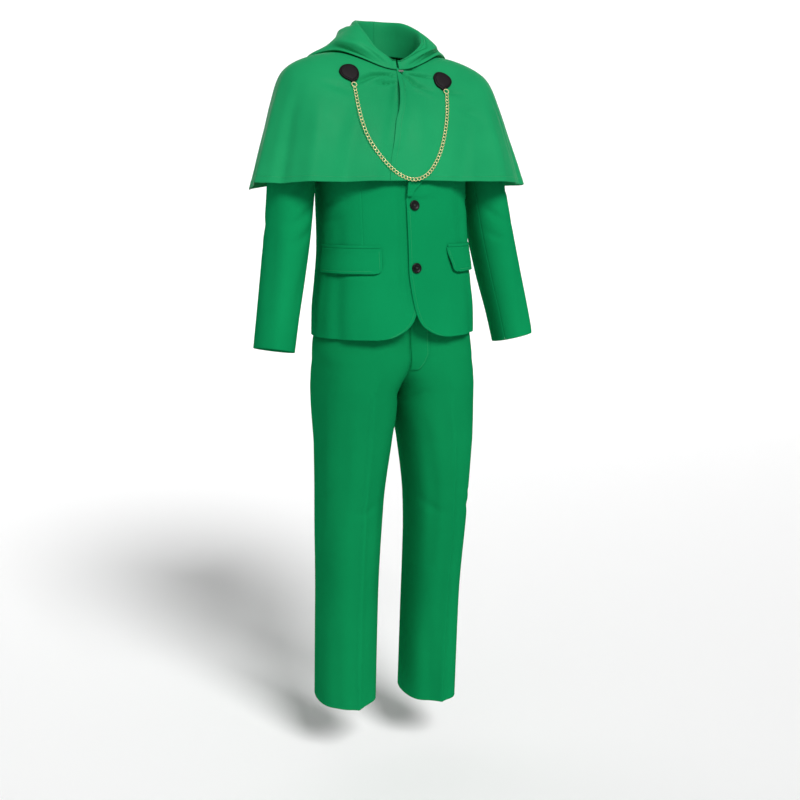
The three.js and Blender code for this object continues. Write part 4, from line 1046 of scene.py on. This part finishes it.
def cape_half(name, left):
    up = spaced(0, CAPE_RUN, 96, SATIN) / CAPE_RUN
    around, up = np.meshgrid(spaced(0, 560, 150, SATIN) / 560, up)
    slit = slit_angle(up)
    start, end = (slit, PI - HALF_SEAM) if left else (HALF_SEAM - PI, slit + rad(4.5))
    u = mix(start, end, around)
    rise = cape_place(u, up)
    height = cape_folds(u, rise, SLIT_EDGE_FOLDS if left else SLIT_UNDER_FOLDS) + hem_step(up)
    return shown(name, *wall(cape_left_cloth if left else cape_cloth, u, rise, SATIN, height), CAPE_SATIN)


def hood_relief(u, along, folds):
    return relief(u, along, folds, lambda level: 90 + 0 * level, 300)


def hood_half(name, table, side, folds):
    near, far = rad(1.8) * side, (PI - 0.0004) * side
    start, end = (near, far) if side > 0 else (far, near)
    along = 0.002 + 0.996 * spaced(0, 300, 110, SATIN) / 300
    around, along = np.meshgrid(spaced(0, 330, 110, SATIN) / 330, along)
    u = mix(start, end, around)
    height = hood_relief(u, along, folds)
    return shown(name, *wall(hood_cloth(table, side), u, along, SATIN, height), CAPE_SATIN)


cape_left = cape_half("cape_left_cloth", True)
cape_right = cape_half("cape_right_cloth", False)
declare(cape_left, "cape_left")
declare(cape_right, "cape_right")
hood_left = hood_half("hood_left_cloth", HOOD_LEFT, 1, HOOD_FOLDS["left"])
hood_right = hood_half("hood_right_cloth", HOOD_RIGHT, -1, HOOD_FOLDS["right"])
declare(hood_left, "hood_left")
declare(hood_right, "hood_right")


# Chain
def find_place(surface, x, z):
    """The place on a surface that has a given x and z"""
    u, v = rad(x * 0.4), max(0.65 + z / 350, 0.02)
    step = 1e-4
    for _ in range(20):
        here = surface(np.array(u), np.array(v))
        along_u = (surface(np.array(u + step), np.array(v)) - here) / step
        along_v = (surface(np.array(u), np.array(v + step)) - here) / step
        det = along_u[0] * along_v[2] - along_u[2] * along_v[0]
        miss_x, miss_z = x - here[0], z - here[2]
        u += (miss_x * along_v[2] - miss_z * along_v[0]) / det
        v = min(max(v + (along_u[0] * miss_z - along_u[2] * miss_x) / det, 0.005), 0.99)
    return np.array(u), np.array(v)


LINK = {"pitch": 7.2, "length": 10, "width": 7.6, "wire": 1.25, "twist": 78}


def geometry_tree(name, inputs):
    tree = bpy.data.node_groups.new(name, "GeometryNodeTree")
    tree.interface.new_socket("Geometry", in_out="INPUT", socket_type="NodeSocketGeometry")
    tree.interface.new_socket("Geometry", in_out="OUTPUT", socket_type="NodeSocketGeometry")
    sockets = {}
    for label, kind in inputs.items():
        sockets[label] = tree.interface.new_socket(label, in_out="INPUT", socket_type=kind).identifier
    return tree, node(tree, "NodeGroupInput"), sockets


def link_tree():
    """Twisted oval links, one on each point, turned to the chain's run and to the cloth"""
    sizes = {size: "NodeSocketFloat" for size in ("Length", "Width", "Wire", "Twist")}
    tree, given, sockets = geometry_tree("curb_chain", sizes | {"Finish": "NodeSocketMaterial"})
    wire = given.outputs["Wire"]
    circle = result(tree, "GeometryNodeCurvePrimitiveCircle", {"Resolution": 18, "Radius": 0.5})
    position = result(tree, "GeometryNodeInputPosition")
    length = maths(tree, "SUBTRACT", given.outputs["Length"], wire)
    width = maths(tree, "SUBTRACT", given.outputs["Width"], wire)
    size = result(tree, "ShaderNodeCombineXYZ", {0: length, 1: width, 2: 1.0})
    oval = result(tree, "ShaderNodeVectorMath", {0: position, 1: size}, operation="MULTIPLY")
    along = result(tree, "ShaderNodeSeparateXYZ", {0: position})
    twist = maths(tree, "MULTIPLY", along, given.outputs["Twist"])
    bent = result(tree, "ShaderNodeVectorRotate", {"Vector": oval, "Angle": twist}, rotation_type="X_AXIS")
    path = result(tree, "GeometryNodeSetPosition", {"Geometry": circle, "Position": bent})
    place_on_points(tree, given, strand(tree, path, maths(tree, "MULTIPLY", wire, 0.5), False))
    return tree, sockets


def strand(tree, path, radius, caps):
    """A thin six-sided strand along a path"""
    profile = result(tree, "GeometryNodeCurvePrimitiveCircle", {"Resolution": 6, "Radius": radius})
    inputs = {"Curve": path, "Profile Curve": profile, "Fill Caps": caps}
    return result(tree, "GeometryNodeCurveToMesh", inputs)


def place_on_points(tree, given, shape):
    """Ends a tree: its shape on each given point, turned by the point's two directions"""
    vectors = {}
    for label in ("along", "facing"):
        inputs = {"Name": label}
        vectors[label] = result(tree, "GeometryNodeInputNamedAttribute", inputs, data_type="FLOAT_VECTOR")
    align = "FunctionNodeAlignRotationToVector"
    turn = result(tree, align, {"Vector": vectors["along"]}, axis="X")
    turn = result(tree, align, {"Rotation": turn, "Vector": vectors["facing"]}, axis="Z", pivot_axis="X")
    inputs = {"Points": given.outputs["Geometry"], "Instance": shape, "Rotation": turn}
    placed = result(tree, "GeometryNodeInstanceOnPoints", inputs)
    real = result(tree, "GeometryNodeRealizeInstances", {"Geometry": placed})
    smoothed = result(tree, "GeometryNodeSetShadeSmooth", {"Geometry": real})
    inputs = {"Geometry": smoothed, "Material": given.outputs["Finish"]}
    finished = result(tree, "GeometryNodeSetMaterial", inputs)
    tree.links.new(finished, node(tree, "NodeGroupOutput").inputs[0])


def on_points(name, points, along, facing, tree, sockets, values):
    """The tree's shape on each point, made a plain mesh"""
    mesh = bpy.data.meshes.new(name)
    mesh.from_pydata((np.array(points) * MM).tolist(), [], [])
    for label, vectors in (("along", along), ("facing", facing)):
        attribute = mesh.attributes.new(label, "FLOAT_VECTOR", "POINT")
        attribute.data.foreach_set("vector", np.array(vectors).reshape(-1))
    piece = bpy.data.objects.new(name, mesh)
    bpy.context.scene.collection.objects.link(piece)
    modifier = piece.modifiers.new("made", "NODES")
    modifier.node_group = tree
    for label, value in values.items():
        modifier[sockets[label]] = value
    made_plain(piece)
    piece.data.materials.clear()
    piece.data.materials.append(values["Finish"])
    piece.data.polygons.foreach_set("material_index", [0] * len(piece.data.polygons))
    return piece


def evenly(points, outward, pitch):
    """Places at one pitch along a curve, with the run and the outward direction at each"""
    share = np.linspace(0, 1, 3001)
    fine = curve_through([np.broadcast_to(p, (3001, 3)) for p in points], share)
    out = curve_through([np.broadcast_to(p, (3001, 3)) for p in outward], share)
    run = np.concatenate([[0], np.cumsum(np.linalg.norm(np.diff(fine, axis=0), axis=1))])
    count = round(run[-1] / pitch)
    marks = (np.arange(count) + 0.5) * run[-1] / count
    pick = np.searchsorted(run, marks)
    tangent = np.gradient(fine, axis=0)[pick]
    return fine[pick], tangent / np.linalg.norm(tangent, axis=1, keepdims=True), out[pick]


# From the cape's lower half to the chain's middle: the upper half's cloth, two gaps and room for the wire
chain_lift = SATIN + 2 * LAID + 1
route = []
outward = []
for x, z in CHAIN_ROUTE:
    u, v = find_place(cape_cloth, x, z)
    outward.append(normals(cape_cloth, u, v))
    route.append(cape_cloth(u, v) + outward[-1] * (chain_lift + max(0, cape_folds(u, v))))

tree, sockets = link_tree()
link_places, link_run, link_out = evenly(route, outward, LINK["pitch"])
values = {size.capitalize(): LINK[size] * MM for size in ("length", "width", "wire")}
values |= {"Twist": rad(LINK["twist"]), "Finish": GOLD}
chain = on_points("chain_links", link_places, link_run, link_out, tree, sockets, values)
declare(chain, "chain")

# Leather pads with a pressed groove near their edge
PAD = {"radius": 20.6, "tip": 24, "tip_spread": 0.2, "thickness": 5.5}


def lathed(rows, turns):
    """Faces of rings of points, each ring going round, closed by one point at each end"""
    count = len(turns)
    faces = []
    for i in range(count):
        following = (i + 1) % count
        faces.append((0, 1 + i, 1 + following, 1 + following))
        for row in range(rows - 1):
            low, high = 1 + row * count, 1 + (row + 1) * count
            faces.append((low + i, high + i, high + following, low + following))
        last = 1 + (rows - 1) * count
        faces.append((last + i, rows * count + 1, rows * count + 1, last + following))
    return faces


def plain_piece(name, points, faces, material, sharp=40):
    mesh = bpy.data.meshes.new(name)
    mesh.from_pydata((np.array(points) * MM).tolist(), [], [tuple(dict.fromkeys(face)) for face in faces])
    mesh.materials.append(material)
    mesh.shade_smooth()
    mesh.set_sharp_from_angle(angle=rad(sharp))
    return in_scene(name, mesh)


def leather_pad(name, surface, x, z):
    u, v = find_place(surface, x, z)
    normal = normals(surface, u, v)
    down = np.array([0, 0, -1.0]) + normal * normal[2]
    down /= np.linalg.norm(down)
    across = np.cross(normal, down)
    raised = max(0, float(cape_folds(u, v)))
    step = 1e-4
    along_u = (surface(u + step, v) - surface(u, v)) / step
    along_v = (surface(u, v + step) - surface(u, v)) / step
    tangents = np.stack([along_u, along_v], 1)
    turns = np.linspace(0, 2 * PI, 73)[:-1]
    shares = np.array([0.2, 0.4, 0.58, 0.72, 0.79, 0.83, 0.86, 0.9, 0.95, 0.985, 1, 1, 0.97, 0.6])
    heights = PAD["thickness"] * (0.45 + 0.55 * np.sqrt(np.clip(1 - shares**4, 0, 1)))
    heights -= 0.9 * bell(shares - 0.83, 0.02)
    heights[-4:] = (PAD["thickness"] * 0.32, 0.5, 0, 0)
    rows = [(0, PAD["thickness"])] + list(zip(shares, heights)) + [(0, 0)]
    points = []
    tip_shape = bell(turned(turns), PAD["tip_spread"])
    for share, height in rows:
        tip = tip_shape * (PAD["tip"] - PAD["radius"])
        radius = (PAD["radius"] + tip) * share
        move = np.outer(radius * np.sin(turns), across) + np.outer(radius * np.cos(turns), down)
        if share == 0:
            move = move[:1]
        places = np.linalg.lstsq(tangents, move.T, rcond=None)[0]
        pu, pv = u + places[0], v + places[1]
        points.append(surface(pu, pv) + normals(surface, pu, pv) * (LAID + raised + height))
    return plain_piece(name, np.concatenate(points), lathed(len(rows) - 2, turns), LEATHER)


for side, surface, x, z in (("right", cape_cloth, -108, -6), ("left", cape_left_cloth, 96, -15)):
    declare(leather_pad(f"disc_{side}_leather", surface, x, z), f"disc_{side}")

# Jump rings and hook keep their own solids, with a finer finish
for name, finish in (("ring_right", GOLD), ("ring_left", GOLD), ("neck_hook", STEEL)):
    solid = bpy.data.objects[name]
    solid.data.materials.clear()
    solid.data.materials.append(finish)

# Buttons: four holes crossed by thread, over a sunken middle
BUTTON = {"thickness": 3.2, "rim": 1.1, "stand": 0.45, "hole": 0.95, "hole_from_middle": 2.6, "thread": 0.42}
# (distance from the middle, height), from the sunken front over the rim to the flat back
BUTTON_PROFILE = (
    (1, 2.1), (3.9, 2.1), (5.6, 2.2), (6.7, 2.6), (7.6, 3.08), (8.4, 3.2), (9.3, 3.1), (10, 2.7),
    (10.4, 2.1), (10.5, 1.5), (10.3, 0.9), (9.6, 0.3), (8, 0), (3, 0),
)


def round_button(name, z):
    u, v = np.array(0.0), np.array(float(z))
    centre = jacket_left_front(u, v)
    normal = normals(jacket_left_front, u, v)
    centre = centre + np.array([SWAY.read(z, "x"), 0, 0]) + normal * BUTTON["stand"]
    across = np.cross(np.array([0, 0, 1.0]), normal)
    across /= np.linalg.norm(across)
    up = np.cross(normal, across)
    turns = np.linspace(0, 2 * PI, 49)[:-1]
    points = [[centre + normal * (BUTTON["thickness"] - BUTTON["rim"])]]
    for radius, height in BUTTON_PROFILE:
        ring_points = np.outer(np.cos(turns), across) + np.outer(np.sin(turns), up)
        points.append(centre + ring_points * radius + normal * height)
    points.append([centre])
    disc = plain_piece(name, np.concatenate(points), lathed(len(BUTTON_PROFILE), turns), HORN)
    return disc, centre, normal, across, up


THREAD_SIDES = 6
THREAD_STEPS = 8


def cross_threads(name, centre, normal, across, up):
    """Two crossed strands over the four holes, each a low arch"""
    points, faces = [], []
    for turn in (PI / 4, 3 * PI / 4):
        run = across * math.cos(turn) + up * math.sin(turn)
        side = np.cross(normal, run)
        for offset in (-0.45, 0.45):
            start = len(points)
            for share in np.linspace(-1, 1, THREAD_STEPS + 1):
                middle = centre + run * share * BUTTON["hole_from_middle"] + side * offset
                middle = middle + normal * (BUTTON["thickness"] - BUTTON["rim"] + 0.75 * (1 - share**2) - 0.1)
                for k in range(THREAD_SIDES):
                    angle = k * 2 * PI / THREAD_SIDES
                    turn_round = side * math.cos(angle) + normal * math.sin(angle)
                    points.append(middle + turn_round * BUTTON["thread"])
            for i in range(THREAD_STEPS):
                first = start + i * THREAD_SIDES
                for k in range(THREAD_SIDES):
                    a, b = first + k, first + (k + 1) % THREAD_SIDES
                    faces.append((a, a + THREAD_SIDES, b + THREAD_SIDES, b))
            last = start + THREAD_STEPS * THREAD_SIDES
            faces.append(tuple(start + k for k in range(THREAD_SIDES)))
            faces.append(tuple(last + k for k in reversed(range(THREAD_SIDES))))
    return plain_piece(name, points, faces, DARK_THREAD)


def hole_cutter(centre, normal, across, up):
    points, faces = [], []
    turns = np.linspace(0, 2 * PI, 13)[:-1]
    for turn in (PI / 4, 3 * PI / 4, 5 * PI / 4, 7 * PI / 4):
        middle = centre + (across * math.cos(turn) + up * math.sin(turn)) * BUTTON["hole_from_middle"]
        start = len(points)
        circle = (np.outer(np.cos(turns), across) + np.outer(np.sin(turns), up)) * BUTTON["hole"]
        for height in (-1, 4):
            points += list(middle + normal * height + circle)
        for k in range(12):
            a, b = start + k, start + (k + 1) % 12
            faces.append((a, b, b + 12, a + 12))
        faces.append(tuple(start + k for k in reversed(range(12))))
        faces.append(tuple(start + 12 + k for k in range(12)))
    return plain_piece("button_holes", points, faces, HORN)


for name, z in (("button_upper", -267), ("button_lower", -391)):
    button, centre, normal, across, up = round_button(f"{name}_horn", z)
    holes = hole_cutter(centre, normal, across, up)
    trim(button, holes)
    bpy.data.objects.remove(holes)
    declare(button, name)
    threads = cross_threads(f"{name}_thread", centre, normal, across, up)
    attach(threads, "root")

# Sewing: short strands of thread in rows, one on each point
STITCH = {"length": 2.7, "thread": 0.5, "pitch": 3.6}


def stitch_tree():
    sizes = {"Length": "NodeSocketFloat", "Thread": "NodeSocketFloat"}
    tree, given, sockets = geometry_tree("sewing", sizes | {"Finish": "NodeSocketMaterial"})
    ends = {}
    for label, share in (("Start", -0.5), ("End", 0.5)):
        x = maths(tree, "MULTIPLY", given.outputs["Length"], share)
        ends[label] = result(tree, "ShaderNodeCombineXYZ", {0: x})
    line = result(tree, "GeometryNodeCurvePrimitiveLine", ends)
    radius = maths(tree, "MULTIPLY", given.outputs["Thread"], 0.5)
    place_on_points(tree, given, strand(tree, line, radius, True))
    return tree, sockets


def stitch_row(surface, u, v, height=0, mirror=False, sway=False):
    """Where stitches stand along a line on a surface: place, run and outward direction"""
    outward = normals(surface, u, v)
    points = surface(u, v) + outward * np.reshape(height + 0.12 + 0 * u, (-1, 1))
    if mirror:
        points[:, 0] *= -1
        outward[:, 0] *= -1
    if sway:
        points[:, 0] += SWAY.read(points[:, 2], "x")
    run = np.concatenate([[0], np.cumsum(np.linalg.norm(np.diff(points, axis=0), axis=1))])
    pick = np.searchsorted(run, np.arange(STITCH["pitch"], run[-1] - STITCH["pitch"], STITCH["pitch"]))
    along = np.gradient(points, axis=0)[pick]
    return points[pick], along / np.linalg.norm(along, axis=1, keepdims=True), outward[pick]


sewing, sewing_sockets = stitch_tree()


def sew(name, rows):
    points, along, facing = (np.concatenate(part) for part in zip(*rows))
    values = {"Length": STITCH["length"] * MM, "Thread": STITCH["thread"] * MM, "Finish": THREAD}
    piece = on_points(name, points, along, facing, sewing, sewing_sockets, values)
    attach(piece, "root")


# A row is worked out at this many places, and each of its stitches stands at one of them
FINE = 1600
line = np.linspace(0, 1, FINE)
PLACKET = 8
EDGE_STITCH = 5
HOOD_HEM_ALONG = 0.6

cape_rows = []
for left in (True, False):
    surface, folds = (cape_left_cloth, SLIT_EDGE_FOLDS) if left else (cape_cloth, SLIT_UNDER_FOLDS)
    up = np.full(FINE, (CAPE_HEM - 2.5) / CAPE_RUN)
    edge = slit_angle(up)
    u = mix(edge + 0.03, PI - 0.01, line) if left else mix(0.01 - PI, edge - 0.02, line)
    rise = cape_place(u, up)
    cape_rows.append(stitch_row(surface, u, rise, cape_folds(u, rise, folds) + HEM_STEP))
up = mix(0.03, 0.9, line)
u = slit_angle(up) + PLACKET / cape_radius(up)
rise = cape_place(u, up)
cape_rows.append(stitch_row(cape_left_cloth, u, rise, cape_folds(u, rise, SLIT_EDGE_FOLDS) + hem_step(up)))
sew("cape_stitches", cape_rows)

hood_rows = []
for table, side, folds in ((HOOD_LEFT, 1, HOOD_FOLDS["left"]), (HOOD_RIGHT, -1, HOOD_FOLDS["right"])):
    u = side * mix(rad(6), PI - 0.02, line)
    along = np.full(FINE, HOOD_HEM_ALONG)
    hood_rows.append(stitch_row(hood_cloth(table, side), u, along, hood_relief(u, along, folds)))
sew("hood_stitches", hood_rows)

jacket_rows = []
for side, surface in (("left", jacket_left_front), ("right", jacket_body)):
    flip = side == "right"
    slant = 0 if flip else FAR_FLAP_SLANT
    z = mix(-539, -262, line)
    u = jacket_angle(-FRONT_EDGE.read(z, "past"), z) + EDGE_STITCH / jacket_radius(z)
    height = relief(u, z, JACKET_FOLDS[side], jacket_radius, 1) * JACKET_FOLD_DEPTH
    jacket_rows.append(stitch_row(surface, u, hemmed(z), height, flip, True))
    z = mix(-355, -396, line)
    u = jacket_angle(FLAP["front"] + slant * smooth(-351, FLAP["bottom"], z) + EDGE_STITCH, z)
    jacket_rows.append(stitch_row(jacket_left_front, u, z, SUITING + LAID + flap_puff(z, 0), flip, True))
    z = np.full(FINE, FLAP["bottom"] + EDGE_STITCH, float)
    u = jacket_angle(78 if flip else 88, z) + line * 138 / FLAP_RADIUS
    jacket_rows.append(stitch_row(jacket_left_front, u, z, SUITING + LAID + flap_puff(z, 0.5), flip, True))
sew("jacket_stitches", jacket_rows)

u, z = fly_angle(mix(0.012, 0.9, line), 4)
fly_row = stitch_row(trouser_leg(*STANCE["left"][:2]), u, z, fly_laid, False, True)
sew("trouser_stitches", [fly_row])

# Floor, light and camera
FLOOR_Z = -1.5


def stage_sheet():
    """A pale floor that turns up into a wall far behind"""
    rows = ((-7, 0), (3.5, 0), (4.4, 0.12), (5.1, 0.6), (5.4, 1.4), (5.5, 7))
    points = [(x, y, FLOOR_Z + z) for y, z in rows for x in (-9, 9)]
    faces = [(2 * i, 2 * i + 1, 2 * i + 3, 2 * i + 2) for i in range(len(rows) - 1)]
    mesh = bpy.data.meshes.new("studio_floor")
    mesh.from_pydata(points, [], faces)
    mesh.shade_smooth()
    floor = in_scene("studio_floor", mesh)
    material, tree, shader = new_material("pale_floor", Roughness=0.8, Base_Color=(0.9, 0.9, 0.9, 1))
    mesh.materials.append(material)


stage_sheet()


def soft_sun(name, towards, strength, spread):
    """A broad light from far away; towards is the direction that its rays come from"""
    data = bpy.data.lights.new(name, "SUN")
    data.energy = strength
    data.angle = rad(spread)
    light = in_scene(name, data)
    light.rotation_euler = Vector(towards).to_track_quat("Z", "Y").to_euler()


soft_sun("key", (0.06, -0.84, 0.74), 3.05, 22)
soft_sun("fill", (-0.8, -0.6, 0.25), 0.22, 60)
world = bpy.data.worlds.new("soft_room")
world.use_nodes = True
world.node_tree.nodes["Background"].inputs["Color"].default_value = (1, 1, 1, 1)
world.node_tree.nodes["Background"].inputs["Strength"].default_value = 0.19
bpy.context.scene.world = world
bpy.context.scene.view_settings.view_transform = "Standard"

CAMERA_TURN = rad(23.5)
CAMERA_DROP = rad(10.6)
SENSOR = 36
PICTURE_PIXELS = 800
FOCAL_PIXELS = 1122
SHIFT_PIXELS = 6
camera_data = bpy.data.cameras.new("camera")
camera_data.sensor_width = SENSOR
camera_data.lens = SENSOR * FOCAL_PIXELS / PICTURE_PIXELS
camera_data.shift_x = SHIFT_PIXELS / PICTURE_PIXELS
camera = in_scene("camera", camera_data)
camera.location = (-0.951, -2.187, -0.236)
camera.rotation_euler = (PI / 2 - CAMERA_DROP, 0, -CAMERA_TURN)
bpy.context.scene.camera = camera
